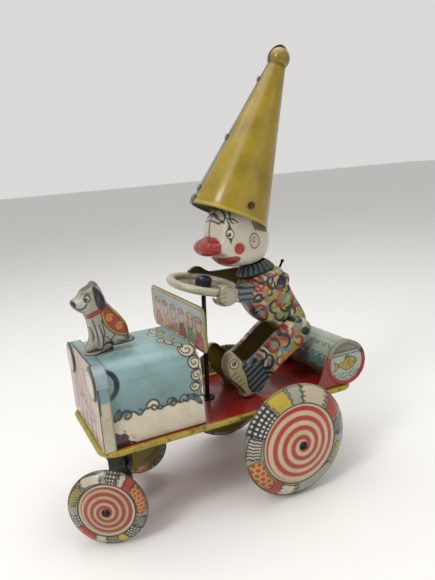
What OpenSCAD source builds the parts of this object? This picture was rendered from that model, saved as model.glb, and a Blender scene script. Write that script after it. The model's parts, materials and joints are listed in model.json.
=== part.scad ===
// Clockwork tin car with a clown driver and a little dog on the bonnet.
// Millimetres. The car drives towards -Y, its own left side is +X, and it stands on Z = 0.
// The origin is on the ground under the middle of the chassis tray.

/* [Chassis] */
// Length of the chassis tray over its rolled edge
chassis_l = 157; // [150:1:190]
// Width of the chassis tray over its rolled edge
chassis_w = 70.6; // [66:0.2:90]
// Height of the deck's upper face above the ground
deck_z = 51.5; // [51:0.1:62]
// Radius of the tray's corners in plan
corner_r = 10; // [6:0.5:14]
// Radius of the rolled edge
bead_r = 1.5; // [1.2:0.1:2]
// Thickness of the tinplate
sheet = 0.6; // [0.5:0.05:0.8]

/* [Hood] */
// Width of the bonnet shell
hood_w = 60.8; // [58:0.2:64]
// Length of the bonnet shell
hood_l = 56; // [55.6:0.2:68]
// Height of the bonnet above the deck
hood_h = 43.4; // [42:0.2:54]
// Radius of the bonnet's upper corners
hood_r = 12; // [8:0.5:14]
// Width of the windscreen plate
screen_w = 80.8; // [66:0.2:88]
// Height of the windscreen plate
screen_h = 24.8; // [18:0.2:28]
// How far the windscreen plate reaches below the bonnet's top
screen_drop = 2.4; // [0:0.2:5]

/* [Barrel] */
// Outer diameter of the barrel at the back
barrel_d = 27.4; // [24:0.2:30]
// Length of the barrel across the car
barrel_w = 67; // [60:0.5:80]
// How far in front of the barrel's centre its side cheeks start on the deck
cheek_l = 37; // [20:1:45]

/* [Wheels] */
// Outside diameter of a back wheel
rear_d = 66; // [60:0.5:70]
// Distance between the rims of the back wheels
rear_track = 86.8; // [84:0.2:110]
// Outside diameter of a front wheel
front_d = 41.8; // [38:0.2:44]
// Distance between the rims of the front wheels
front_track = 67.3; // [60:0.1:76]
// How far the front carriage is turned about its upright shaft
steer = -28.5; // [-60:0.5:60]
// Diameter of the back axle
rear_axle_d = 3; // [2.4:0.1:3.6]
// Diameter of the front axle
front_axle_d = 2.6; // [2.2:0.1:3]

/* [Clockwork] */
// Tooth module of every gear
gear_m = 0.7; // [0.6:0.01:0.75]
// Teeth of the great wheel
great_n = 48; // [40:2:48]
// Teeth of each pinion
pinion_n = 12; // [12]
// Teeth of the crown wheel in the bonnet
crown_n = 24; // [20:2:26]
// Teeth of the crown wheel on the front axle
axle_crown_n = 18; // [16:2:20]
// Distance between the outer faces of the clockwork's plates
motor_w = 27; // [26:0.5:34]
// Diameter of the winding arbor
arbor_d = 3.6; // [3:0.1:4]
// Diameter of the upright drive shaft
shaft_d = 3; // [2.6:0.1:3.2]
// Radial clearance of every running fit
running = 0.05; // [0.02:0.01:0.09]

/* [Driver] */
// Outside diameter of the steering wheel
steering_d = 42.8; // [38:0.2:46]
// Diameter of the steering column
column_d = 2.6; // [2.2:0.1:3]
// Half the width of the driver's body
torso_half = 9; // [8:0.2:10]
// Width of one arm or leg
limb_w = 7; // [5.5:0.1:8]
// Radius of the hat at its rim
hat_r = 23.6; // [21:0.1:26]
// Length of the hat's cone
hat_l = 90; // [70:1:100]
// Radius of the head
head_r = 16.5; // [15:0.1:17]

/* [Hidden] */
$fn = 48;
eps = 0.01;
air = 0.3;                                   // gap between parts that move past each other
lap = 0.1;                                   // gap between sheets that only lie on each other

// Levels and stations along the car
deck_under = deck_z - sheet;
hood_top = deck_z + hood_h;
hood_front = -chassis_l / 2 + 2 * bead_r + 0.05;
hood_rear = hood_front + hood_l;
shaft_y = hood_front + 14.25;                // upright shaft, which the carriage turns about
barrel_r = barrel_d / 2;
barrel_y = chassis_l / 2 - 4.9;
bead_top = deck_z - 1.2 + bead_r + 0.05;       // just clear of the rolled edge
barrel_z = bead_top + barrel_r;
rear_r = rear_d / 2;
rear_y = chassis_l / 2 - 50.4;
front_r = front_d / 2;

// Clockwork
plate_t = 0.8;
plate_in = motor_w / 2 - plate_t;            // inner face of each plate
pinion_r = pinion_n * gear_m / 2;
great_r = great_n * gear_m / 2;
crown_r = crown_n * gear_m / 2;
axle_crown_r = axle_crown_n * gear_m / 2;
crown_z = deck_z + 16.5;
mesh_rise = 5;                               // great wheel's axis above the crown wheel's
mesh_run = sqrt(pow(great_r + pinion_r, 2) - mesh_rise * mesh_rise);
arbor_y = shaft_y + mesh_run;
arbor_z = crown_z + mesh_rise;
mesh_angle = atan2(mesh_rise, mesh_run);
tooth_up = 0.9 * gear_m;                     // addendum
tooth_down = 1.15 * gear_m;                  // dedendum
tooth_share = 0.4;                           // tooth thickness as a share of the pitch
pressure = 20;
crown_face = 1.8;                            // length of a crown tooth along its radius
crown_tip = pinion_r - 0.75 * gear_m;        // crown tooth's tip, from the shaft's axis
crown_root = pinion_r + 1.35 * gear_m;
crown_disc_t = 1;
pinion_len = 3;
crown_arbor_r = 1;
shaft_r = shaft_d / 2;
arbor_r = arbor_d / 2;
ratchet_r = 6;
ratchet_n = 12;
great_x = plate_in - 4;                      // great wheel's inner face
great_t = 1.6;
ratchet_x = great_x - 2.2;
spring_r = 13.6;
spring_turns = 5;

// Carriage
tube_r = 3.2;
tube_bore = shaft_r + running;
tube_collar_r = 5;
bush_flange_t = 1.2;
yoke_top = front_r + 13.6;
yoke_half = 9.4;
yoke_t = 0.9;
yoke_w = 9;
tube_top = deck_z + 3.2;
front_axle_r = front_axle_d / 2;
rear_axle_r = rear_axle_d / 2;
lower_pinion_z = front_r + axle_crown_r;

// Driver
hip = [55.9, 85];
shoulder = [40.6, 118.6];
limb_x = torso_half + air;
column_foot = [-4.6, deck_z - 2.4];
wheel_c = [-1.1, 120.5];
column_lean = atan2(wheel_c[0] - column_foot[0], wheel_c[1] - column_foot[1]);
column_l = norm(wheel_c - column_foot);
wheel_pitch = 12.5;                          // steering wheel's tilt towards the driver
wheel_roll = 5.6;                            // steering wheel's tilt towards the car's left
ring_tube = 2.6;
ring_r = steering_d / 2 - ring_tube;
column_r = column_d / 2;
head_c = [22, 147.4];
neck = [33, 131.6];
lift = deck_z - 51.5;                        // the driver and the dog rise with the deck
hat_base = [18.1, 157.7];
hat_lean = 25;
hat_wall = 0.7;
hat_top_r = 5.4;
hat_tie_h = 8.9;                             // strip inside the hat, above its rim
neck_pin_r = 0.8;
fist_c = [0.5, 116.3];
fist_r = 6;
arm_x = limb_x + 0.8;
arm_splay = 8.3;
finial_r = 6.4;
dog_x = 4;

// ---- helpers ----

// cylinder along X from x0 to x1
module xcyl(x0, x1, r) {
    translate([x0, 0, 0]) rotate([0, 90, 0]) cylinder(h = x1 - x0, r = r);
}

// tube along X
module xtube(x0, x1, ro, ri) {
    difference() {
        xcyl(x0, x1, ro);
        xcyl(x0 - 1, x1 + 1, ri);
    }
}

// a (y, z) outline extruded along X from x0 to x1
module slab(pts, x0, x1) {
    translate([x0, 0, 0]) rotate([90, 0, 90]) linear_extrude(x1 - x0) polygon(pts);
}

// pressed half shell of a (y, z) outline: closed at its outer face, open at x0
module pressed(pts, x0, x1) {
    difference() {
        slab(pts, x0, x1);
        translate([x0 - 1, 0, 0]) rotate([90, 0, 90])
            linear_extrude(x1 - x0 + 1 - sheet) offset(delta = -sheet) polygon(pts);
    }
}

// the same thing on the other side of the car
module other_side() {
    mirror([1, 0, 0]) children();
}

// flat plan outline with rounded corners, centred
module plan(l, w, r) {
    union() {
        square([w - 2 * r, l], center = true);
        square([w, l - 2 * r], center = true);
        for (sx = [-1, 1]) {
            for (sy = [-1, 1]) {
                translate([sx * (w / 2 - r), sy * (l / 2 - r)]) circle(r = r);
            }
        }
    }
}

// front view of the bonnet: flat sides, rounded shoulders
module arch(w, h, r) {
    union() {
        translate([-w / 2, 0]) square([w, h - r]);
        translate([-w / 2 + r, 0]) square([w - 2 * r, h]);
        for (sx = [-1, 1]) {
            translate([sx * (w / 2 - r), h - r]) circle(r = r);
        }
    }
}

// stands a front view up so that it runs from y0 to y1
module along_y(y0, y1) {
    translate([0, y1, 0]) rotate([90, 0, 0]) linear_extrude(y1 - y0) children();
}

// 2D spur gear with straight-sided teeth, one tooth on +X
module gear_outline(n) {
    pitch_r = n * gear_m / 2;
    half = PI * gear_m * tooth_share / 2;
    foot = half + (tooth_down + 0.3) * tan(pressure);
    tip = half - tooth_up * tan(pressure);
    union() {
        circle(r = pitch_r - tooth_down);
        for (i = [0 : n - 1]) {
            rotate(360 * i / n)
                polygon([[pitch_r - tooth_down - 0.3, -foot], [pitch_r + tooth_up, -tip],
                    [pitch_r + tooth_up, tip], [pitch_r - tooth_down - 0.3, foot]]);
        }
    }
}

module gear(n, t, bore_r) {
    difference() {
        linear_extrude(t) gear_outline(n);
        translate([0, 0, -1]) cylinder(h = t + 2, r = bore_r);
    }
}

// crown wheel about X: teeth point towards -X, one tooth at the top
module crown(n, bore_r) {
    pitch_r = n * gear_m / 2;
    half = PI * gear_m * tooth_share / 2;
    grow = (crown_root - crown_tip) / 2 * tan(pressure);
    outer_r = pitch_r + crown_face / 2;
    union() {
        translate([crown_root, 0, 0]) xtube(-eps, crown_disc_t, outer_r, bore_r);
        for (i = [0 : n - 1]) {
            rotate([360 * i / n, 0, 0]) translate([0, 0, pitch_r - crown_face / 2])
                linear_extrude(crown_face - 0.06)
                    polygon([[crown_tip, -half + grow], [crown_root, -half - grow],
                        [crown_root, half + grow], [crown_tip, half - grow]]);
        }
    }
}

// pressed wheel about X: rim in the plane x = 0, dome towards +X
module pressed_wheel(r, axle_r) {
    spiral_r = 0.7 * r;
    ring_rise = 0.147 * r;
    dome_rise = 0.245 * r;
    steps = 10;
    ring = [for (i = [0 : steps]) let (s = i / steps)
        [r - (r - spiral_r) * s, ring_rise * s + 0.05 * r * sin(180 * s)]];
    dome = [for (i = [1 : steps]) let (q = spiral_r * (1 - i / steps))
        [q, ring_rise - 0.5 + (dome_rise - ring_rise + 0.5) * (1 - pow(q / spiral_r, 2))]];
    top = concat(ring, dome);
    under = [for (i = [len(top) - 1 : -1 : 0]) [top[i][0], top[i][1] - sheet]];
    difference() {
        rotate([0, 90, 0]) union() {
            rotate_extrude($fn = 96) polygon(concat(top, under));
            rotate_extrude($fn = 96) translate([r - 1.1, -0.2]) circle(r = 1.1);
            translate([0, 0, -1.5]) cylinder(h = dome_rise + 1.3, r = 3);
        }
        xcyl(-5, dome_rise + 5, axle_r);
    }
}

// straight axle along X with a riveted head at each end
module headed_axle(half_l, r) {
    union() {
        xcyl(-half_l, half_l, r);
        for (s = [0, 1]) {
            mirror([s, 0, 0]) translate([half_l, 0, 0]) rotate([0, 90, 0])
                cylinder(h = 1.2, r1 = r + 0.9, r2 = r);
        }
    }
}

module at_front_axle() {
    translate([0, shaft_y, 0]) rotate([0, 0, steer]) translate([0, 0, front_r]) children();
}

module at_arbor() {
    translate([0, arbor_y, arbor_z]) children();
}

module at_crown() {
    translate([0, shaft_y, crown_z]) children();
}

// ---- chassis ----

module chassis_tray() {
    color("firebrick") difference() {
        union() {
            translate([0, 0, deck_under]) linear_extrude(sheet)
                plan(chassis_l - 2 * bead_r, chassis_w - 2 * bead_r, corner_r - bead_r);
            rolled_edge();
        }
        translate([0, shaft_y, deck_z - 5]) cylinder(h = 10, r = tube_collar_r - 0.6);
        translate([0, column_foot[0], deck_z - 5]) cylinder(h = 10, r = eyelet_r);
    }
}
eyelet_r = column_r + 2.2;

// round bead all the way round the tray, its middle at the skirt's foot
module rolled_edge() {
    bead_z = deck_z - 1.2;
    sx = chassis_w / 2 - corner_r;
    sy = chassis_l / 2 - corner_r;
    translate([0, 0, bead_z]) union() {
        for (s = [-1, 1]) {
            translate([s * (chassis_w / 2 - bead_r), -sy, 0]) rotate([-90, 0, 0])
                cylinder(h = 2 * sy, r = bead_r);
            translate([-sx, s * (chassis_l / 2 - bead_r), 0]) rotate([0, 90, 0])
                cylinder(h = 2 * sx, r = bead_r);
        }
        for (a = [0 : 90 : 270]) {
            corner = [[1, 1], [-1, 1], [-1, -1], [1, -1]][a / 90];
            translate([corner[0] * sx, corner[1] * sy, 0]) rotate([0, 0, a])
                rotate_extrude(angle = 90) translate([corner_r - bead_r, 0]) circle(r = bead_r);
        }
    }
}

// sheet bracket that carries the back axle on one side
module axle_hanger() {
    foot_l = 14;
    x_in = chassis_w / 2 - 10.5;
    difference() {
        union() {
            translate([x_in, rear_y - foot_l / 2, deck_under - 1]) cube([6.4, foot_l, 1]);
            translate([x_in, 0, 0])
                slab([[rear_y - foot_l / 2, deck_under - eps], [rear_y + foot_l / 2, deck_under - eps],
                    [rear_y + 4, rear_r], [rear_y - 4, rear_r]], 0, 1);
            translate([0, rear_y, rear_r]) xcyl(x_in, x_in + 1, 4);
        }
        translate([0, rear_y, rear_r]) xcyl(0, chassis_w, rear_axle_r + running);
    }
}

module axle_hanger_left() {
    color("silver") axle_hanger();
}

module axle_hanger_right() {
    color("silver") other_side() axle_hanger();
}

module hood_shell() {
    color("lightblue") difference() {
        translate([0, 0, deck_z]) along_y(hood_front, hood_rear) difference() {
            arch(hood_w, hood_h, hood_r);
            translate([0, -1]) arch(hood_w - 2 * sheet, hood_h - sheet + 1, hood_r - sheet);
        }
        translate([0, shaft_y, hood_top - 3]) cylinder(h = 6, r = shaft_r + 1.4);
        at_arbor() xcyl(-hood_w, -plate_in, arbor_r + 1.2);
        translate([-50, hood_front - 1, deck_z - 1]) cube([100, 4, 1 + bead_top - deck_z]);
    }
}

module radiator_plate() {
    lamp_r = 9.3;
    lamp_x = hood_w / 2 - 6;
    lamp_z = hood_h - 8.9;
    lip = 5;
    skin = lap + sheet;
    color("antiquewhite") translate([0, 0, deck_z]) difference() {
        radiator_solid(lamp_r, lamp_x, lamp_z, lip, skin);
        translate([-50, hood_front - 10, -1]) cube([100, 30, 1 + bead_top - deck_z]);
    }
}

module radiator_solid(lamp_r, lamp_x, lamp_z, lip, skin) {
    union() {
        along_y(hood_front - lap - sheet, hood_front - lap) union() {
            arch(hood_w + 2 * skin, hood_h + skin, hood_r + skin);
            for (s = [-1, 1]) {
                translate([s * lamp_x, lamp_z]) circle(r = lamp_r);
            }
        }
        along_y(hood_front - lap - eps, hood_front + lip) difference() {
            arch(hood_w + 2 * skin, hood_h + skin, hood_r + skin);
            translate([0, -1]) arch(hood_w + 2 * lap, hood_h + lap + 1, hood_r + lap);
        }
        for (s = [-1, 1]) {
            translate([s * lamp_x, hood_front - lap - sheet + eps, lamp_z]) rotate([90, 0, 0])
                cylinder(h = 1.2, r1 = lamp_r - 0.6, r2 = lamp_r - 2.6);
        }
    }
}

module windscreen() {
    r = 5;
    foot_drop = 1.6;
    tab_l = 5;
    color("lightgrey") union() {
        translate([0, 0, hood_top - screen_drop]) along_y(hood_rear + lap, hood_rear + lap + sheet + 0.2)
            union() {
                translate([-screen_w / 2, r]) square([screen_w, screen_h - 2 * r]);
                translate([-screen_w / 2 + r, -foot_drop])
                    square([screen_w - 2 * r, screen_h + foot_drop]);
                for (sx = [-1, 1]) {
                    for (cz = [r, screen_h - r]) {
                        translate([sx * (screen_w / 2 - r), cz]) circle(r = r);
                    }
                }
            }
        for (s = [-1, 1]) {
            translate([s * 15 - tab_l / 2, hood_rear - 4, hood_top + lap])
                cube([tab_l, 4 + lap + eps, sheet]);
        }
    }
}

module barrel_skin() {
    color("palegreen") translate([0, barrel_y, barrel_z])
        xtube(-barrel_w / 2 + 2, barrel_w / 2 - 2, barrel_r - 0.5, barrel_r - 0.5 - sheet);
}

// end plate of the barrel: dished disc with a rim over the skin and a cheek along the deck
module barrel_end() {
    x1 = barrel_w / 2;
    color("palegoldenrod") difference() {
        union() {
            translate([0, barrel_y, barrel_z]) xcyl(x1 - 4, x1, barrel_r);
            slab([[barrel_y - cheek_l, bead_top], [barrel_y, bead_top], [barrel_y, barrel_z],
                [barrel_y - barrel_r + 0.6, barrel_z + 6.6], [barrel_y - 21.6, barrel_z - 2],
                [barrel_y - 29.6, barrel_z - 7]], x1 - 1.6, x1 - 0.6);
        }
        translate([0, barrel_y, barrel_z]) xcyl(x1 - 5, x1 - 2, barrel_r - 0.5);
        translate([0, barrel_y, barrel_z]) xcyl(x1 - 0.8, x1 + 1, barrel_r - 1.4);
    }
}

module barrel_end_left() {
    barrel_end();
}

module barrel_end_right() {
    other_side() barrel_end();
}

// flanged bush in the deck that the carriage turns in
module deck_bush() {
    bore = tube_r + running;
    color("goldenrod") translate([0, shaft_y, 0]) difference() {
        union() {
            translate([0, 0, deck_under - bush_flange_t])
                cylinder(h = bush_flange_t, r = tube_collar_r + 1.5);
            translate([0, 0, deck_under - bush_flange_t])
                cylinder(h = bush_flange_t + sheet + 1, r = tube_collar_r - 0.6);
        }
        translate([0, 0, deck_z - 10]) cylinder(h = 20, r = bore);
    }
}

// small bush in the bonnet's top for the upright shaft
module hood_bush() {
    color("goldenrod") translate([0, shaft_y, hood_top]) difference() {
        union() {
            translate([0, 0, -sheet - 1]) cylinder(h = sheet + 1, r = shaft_r + 1.4);
            cylinder(h = 0.6, r = shaft_r + 2.4);
        }
        translate([0, 0, -5]) cylinder(h = 10, r = shaft_r + running);
    }
}

// eyelet in the deck that the steering column leans in
module column_eyelet() {
    hole = column_r + 0.9;
    color("dimgray") translate([0, column_foot[0], 0]) difference() {
        union() {
            translate([0, 0, deck_under]) cylinder(h = sheet, r = eyelet_r);
            translate([0, 0, deck_z]) cylinder(h = 0.6, r = eyelet_r + 1);
        }
        translate([0, 0, deck_z - 5]) cylinder(h = 10, r = hole);
    }
}

// ---- clockwork ----

// outline of a motor plate in (y, z): stands on the deck
function plate_outline() =
    let (y0 = shaft_y - 4, y1 = arbor_y + spring_r + 3.4, z1 = arbor_z + spring_r + 3.4)
    [[y0, deck_z], [y1, deck_z], [y1, z1 - 6], [y1 - 6, z1], [y0 + 7, z1], [y0, crown_z + 8]];

module motor_plate_left() {
    color("silver") difference() {
        slab(plate_outline(), plate_in, plate_in + plate_t);
        at_arbor() xcyl(0, 40, arbor_r + running);
        at_crown() xcyl(0, 40, crown_arbor_r + 1.6);
    }
}

module motor_plate_right() {
    color("silver") difference() {
        slab(plate_outline(), -plate_in - plate_t, -plate_in);
        at_arbor() xcyl(-40, 0, arbor_r + running);
    }
}

// four spacers between the plates and the short stud that anchors the mainspring
module motor_pillars() {
    out = (great_r + 2.9) / sqrt(2);
    spots = [[arbor_y + out, arbor_z + out], [arbor_y - out, arbor_z + out],
        [arbor_y + out, deck_z + 2.4], [shaft_y + 9.2, deck_z + 2.4]];
    color("goldenrod") union() {
        for (p = spots) {
            translate([0, p[0], p[1]]) xcyl(-plate_in, plate_in, 1.4);
        }
        translate([0, arbor_y + spring_r + 1.75, arbor_z]) xcyl(-plate_in, -1.2, 1.2);
    }
}

// long bush that carries the crown wheel's arbor in the left plate
module crown_bush() {
    color("goldenrod") at_crown() difference() {
        union() {
            xcyl(plate_in, plate_in + 3.4, crown_arbor_r + 1.6);
            xcyl(plate_in + plate_t, plate_in + plate_t + 1, crown_arbor_r + 2.6);
        }
        xcyl(0, 40, crown_arbor_r + running);
    }
}

// coiled mainspring, a strip wound from the arbor out to its anchor
module mainspring() {
    strip = 0.45;
    r0 = arbor_r + 0.05;
    steps = 24;
    count = spring_turns * steps;
    gap = (spring_r - r0) / spring_turns;
    mid = [for (i = [0 : count]) let (a = 360 * i / steps, r = r0 + gap * i / steps)
        [r * cos(a), r * sin(a)]];
    away = [for (i = [0 : count]) let (a = 360 * i / steps, r = r0 + gap * i / steps + strip)
        [r * cos(a), r * sin(a)]];
    color("dimgray") at_arbor()
        slab(concat(mid, [for (i = [count : -1 : 0]) away[i]]), -9.6, -1.6);
}

module great_wheel() {
    color("goldenrod") at_arbor() translate([great_x, 0, 0]) rotate([90, 0, 90])
        rotate([0, 0, 180 + mesh_angle]) difference() {
            gear(great_n, great_t, arbor_r + running);
            for (i = [0 : 4]) {
                rotate([0, 0, 72 * i + 36]) translate([great_r * 0.62, 0, -1])
                    cylinder(h = great_t + 2, r = great_r * 0.17);
            }
        }
}

// spring click that holds the ratchet, riveted to the great wheel
module click() {
    reach = ratchet_r + 3.2;
    color("silver") at_arbor() union() {
        translate([great_x - 1.8, -reach, -1.2]) cube([1.7, 1, 9]);
        translate([great_x - 1.8, -reach, -1.2]) cube([1.7, 3.4, 1]);
        translate([0, -reach + 0.5, 7]) xcyl(great_x - 1.8, great_x, 1.3);
    }
}

module winding_arbor() {
    out = hood_w / 2 + 12;
    color("silver") at_arbor() union() {
        xcyl(-out, plate_in + plate_t + 1.4, arbor_r);
        xcyl(-plate_in + 0.2, -plate_in + 1, arbor_r + 1);
    }
}

module ratchet_wheel() {
    step = 360 / ratchet_n;
    rim = [for (i = [0 : ratchet_n - 1]) each [
        [ratchet_r * cos(i * step), ratchet_r * sin(i * step)],
        [(ratchet_r - 1.3) * cos(i * step + 4), (ratchet_r - 1.3) * sin(i * step + 4)]]];
    color("silver") at_arbor() translate([ratchet_x, 0, 0]) rotate([90, 0, 90]) difference() {
        linear_extrude(1.6) polygon(rim);
        translate([0, 0, -1]) cylinder(h = 4, r = arbor_r);
    }
}

// butterfly key on the far end of the arbor
module winding_key() {
    x0 = -hood_w / 2 - 12;
    loop_r = 5;
    key_t = 1.6;
    color("silver") at_arbor() difference() {
        union() {
            xcyl(x0, x0 + 9, arbor_r + 1.4);
            for (s = [-1, 1]) {
                translate([x0 + 1.5, s * 7.4, 0]) cylinder(h = key_t, r = loop_r, center = true);
            }
            translate([x0 + 1.5, 0, 0]) cube([5.6, 10, key_t], center = true);
        }
        xcyl(x0 - 1, x0 + 10, arbor_r);
        for (s = [-1, 1]) {
            translate([x0 + 1.5, s * 7.4, 0]) cylinder(h = 5, r = loop_r - 2, center = true);
        }
    }
}

module crown_arbor() {
    color("silver") at_crown() xcyl(crown_root, plate_in + 4.2, crown_arbor_r);
}

module crown_wheel() {
    color("goldenrod") at_crown() crown(crown_n, crown_arbor_r);
}

module train_pinion() {
    color("goldenrod") at_crown() translate([great_x - 0.7, 0, 0]) rotate([90, 0, 90])
        rotate([0, 0, mesh_angle + 180 / pinion_n]) gear(pinion_n, pinion_len, crown_arbor_r);
}

// ---- upright shaft and dog ----

module drive_shaft() {
    low = lower_pinion_z - 2.2;
    color("silver") translate([0, shaft_y, low]) cylinder(h = hood_top + 1.8 - low, r = shaft_r);
}

module upper_pinion() {
    color("goldenrod") translate([0, shaft_y, crown_z + crown_r - pinion_len / 2])
        rotate([0, 0, 180 / pinion_n]) gear(pinion_n, pinion_len, shaft_r);
}

module lower_pinion() {
    color("dimgray") translate([0, shaft_y, lower_pinion_z - pinion_len / 2])
        rotate([0, 0, steer + 180 / pinion_n]) gear(pinion_n, pinion_len, shaft_r);
}

// oval plate that turns with the shaft and carries the dog's front feet
module dog_stand() {
    z0 = hood_top + 0.9;
    color("mistyrose") difference() {
        hull() {
            translate([0, shaft_y, z0]) cylinder(h = 0.8, r = 4);
            translate([dog_x + 1, shaft_y - 8.4, z0]) cylinder(h = 0.8, r = 4.6);
        }
        translate([0, shaft_y, z0 - 1]) cylinder(h = 5, r = shaft_r);
    }
}

// side view of the sitting dog in (y, z), from the front foot round by the nose and the back
dog_outline = [[-73, 96.6], [-72.6, 99], [-70.6, 102], [-70, 106], [-70.8, 113], [-72.4, 117],
    [-76.9, 120.6], [-77.8, 124], [-73, 128.6], [-68, 131.2], [-64.4, 131.8], [-61.6, 129.4],
    [-59.4, 122], [-56.5, 118], [-52.9, 113.4], [-49.8, 107.8], [-48.8, 102.4], [-46.4, 99.6],
    [-47.4, 97.8], [-58, 97.4], [-64, 97.4], [-64.4, 96.6]];
dog_half = 5.6;

module dog_left() {
    color("gainsboro") difference() {
        translate([dog_x, 0, hood_top - 94.9]) union() {
            pressed(dog_outline, 0.05, dog_half);
            translate([0, -65, 131.6]) xcyl(0.05, 1.2, 2);
        }
        translate([0, shaft_y, hood_top - 1]) cylinder(h = 2.7, r = 6);
    }
}

module dog_right() {
    color("gainsboro") difference() {
        translate([dog_x, 0, hood_top - 94.9]) mirror([1, 0, 0])
            pressed(dog_outline, 0.05, dog_half);
        translate([0, shaft_y, hood_top - 1]) cylinder(h = 2.7, r = 6);
    }
}

// ---- front carriage ----

// bent yoke: top plate on the tube and two cheeks that hold the axle
module front_yoke() {
    color("slategray") at_front_axle() difference() {
        union() {
            translate([-yoke_half, -yoke_w / 2, yoke_top - front_r]) cube([2 * yoke_half, yoke_w, yoke_t]);
            for (s = [0, 1]) {
                mirror([s, 0, 0]) translate([yoke_half - yoke_t, -yoke_w / 2, 0])
                    cube([yoke_t, yoke_w, yoke_top - front_r + eps]);
                mirror([s, 0, 0]) xcyl(yoke_half - yoke_t, yoke_half, yoke_w / 2);
            }
        }
        xcyl(-20, 20, front_axle_r + running);
        translate([0, 0, yoke_top - front_r - 1]) cylinder(h = 5, r = tube_bore + 0.4);
    }
}

// tube that hangs the yoke in the deck bush, with the drive shaft inside it
module carriage_tube() {
    low = yoke_top + yoke_t;
    collar_top = deck_under - bush_flange_t - 0.15;
    color("silver") translate([0, shaft_y, 0]) difference() {
        union() {
            translate([0, 0, low]) cylinder(h = tube_top - low, r = tube_r);
            translate([0, 0, collar_top - 1.6]) cylinder(h = 1.6, r = tube_collar_r);
            translate([0, 0, low]) cylinder(h = 1.2, r = tube_collar_r - 0.8);
        }
        translate([0, 0, low - 1]) cylinder(h = tube_top, r = tube_bore);
    }
}

module tube_clip() {
    z0 = deck_z + 1.15;
    color("dimgray") translate([0, shaft_y, z0]) difference() {
        cylinder(h = 0.9, r = tube_collar_r);
        translate([0, 0, -1]) cylinder(h = 3, r = tube_r);
    }
}

module front_axle() {
    color("dimgray") at_front_axle()
        headed_axle(front_track / 2 + 0.245 * front_r + 0.3, front_axle_r);
}

module front_wheel_left() {
    color("indianred") at_front_axle() translate([front_track / 2, 0, 0])
        pressed_wheel(front_r, front_axle_r);
}

module front_wheel_right() {
    color("indianred") at_front_axle() other_side() translate([front_track / 2, 0, 0])
        pressed_wheel(front_r, front_axle_r);
}

module axle_crown() {
    color("silver") at_front_axle() crown(axle_crown_n, front_axle_r);
}

// ---- back axle ----

module rear_axle() {
    color("dimgray") translate([0, rear_y, rear_r])
        headed_axle(rear_track / 2 + 0.245 * rear_r + 0.3, rear_axle_r);
}

module rear_wheel_left() {
    color("indianred") translate([rear_track / 2, rear_y, rear_r])
        pressed_wheel(rear_r, rear_axle_r);
}

module rear_wheel_right() {
    color("indianred") other_side() rear_wheel_left();
}

// ---- driver ----

// leg and shoe in (y, z): from the hip forwards and down to the shoe on the deck
leg_outline = [[56, 92.6], [60.6, 90], [62, 85], [60.4, 79], [35, 63.2], [27.6, 56.6], [18, 52.6],
    [12.4, 51.55], [10.2, 58], [5.6, 63], [2.4, 70], [2.6, 76.4], [5.4, 80.6], [9.4, 80.2],
    [13, 76], [25, 75.6], [45, 90.6], [50.6, 93]];

module leg() {
    x0 = limb_x;
    difference() {
        translate([0, 0, lift]) difference() {
            slab(leg_outline, x0, x0 + limb_w);
            translate([x0 - 1, 0, 0]) rotate([90, 0, 90]) linear_extrude(limb_w + 1 - sheet)
                offset(delta = -sheet) polygon(leg_outline);
            translate([0, hip[0], hip[1]]) xcyl(0, 30, 1 + running);
        }
    }
}

module leg_left() {
    color("khaki") leg();
}

module leg_right() {
    color("khaki") other_side() leg();
}

// tabs that hold the shoes to the deck
module foot_rivets() {
    color("silver") for (s = [-1, 1]) {
        translate([s * (limb_x + limb_w / 2), 15.6, deck_under - 0.8]) cylinder(h = 0.8, r = 2);
    }
}

// body in (y, z): from the throat down the front, round the seat and up the back
torso_outline = [[24, 119.8], [22.6, 107], [28, 98], [33, 92.4], [40, 89.6], [50, 80], [57, 78.6],
    [62.4, 82.6], [63.6, 89], [60.8, 97], [54, 109], [50.6, 119], [48, 124.3], [38, 122.7],
    [31, 121.4]];

module torso_half_shell() {
    difference() {
        pressed(torso_outline, 0.05, torso_half);
        translate([0, hip[0], hip[1]]) xcyl(-1, 30, 1);
        translate([0, shoulder[0], shoulder[1]]) xcyl(-1, 30, 1);
    }
}

module torso_left() {
    color("khaki") translate([0, 0, lift]) torso_half_shell();
}

module torso_right() {
    color("khaki") translate([0, 0, lift]) other_side() torso_half_shell();
}

// pleated ruff round the neck
module ruff_collar() {
    half_w = 9.8;
    color("slategray") translate([0, 33.5, lift + 122]) rotate([10, 0, 0]) difference() {
        cylinder(h = 6.2, r1 = 12.6, r2 = 11);
        translate([0, 0, -1]) cylinder(h = 9, r = 7.8);
        for (s = [0, 1]) {
            mirror([s, 0, 0]) translate([half_w, -20, -1]) cube([10, 40, 10]);
        }
    }
}

// rivets that the limbs swing on
module joint_rivets() {
    color("dimgray") translate([0, 0, lift])
        for (p = [[hip, limb_x + limb_w + air], [shoulder, arm_x + limb_w + 0.6]]) {
            translate([0, p[0][0], p[0][1]]) union() {
                xcyl(-p[1], p[1], 1);
                for (s = [0, 1]) {
                    mirror([s, 0, 0]) xcyl(p[1], p[1] + 1, 2.4);
                }
            }
        }
}

// sleeve in (y, z): from the shoulder forwards to the fist on the steering wheel
sleeve_outline = [[44.6, 121.4], [45.6, 117.6], [43, 113.6], [38, 112], [19, 110], [9, 110.6],
    [4, 112], [0, 116], [4, 120], [8.8, 119.2], [18, 120.4], [36, 124.2], [41.6, 124]];

module arm_plan() {
    union() {
        polygon(sleeve_outline);
        translate(fist_c) circle(r = fist_r);
    }
}

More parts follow.
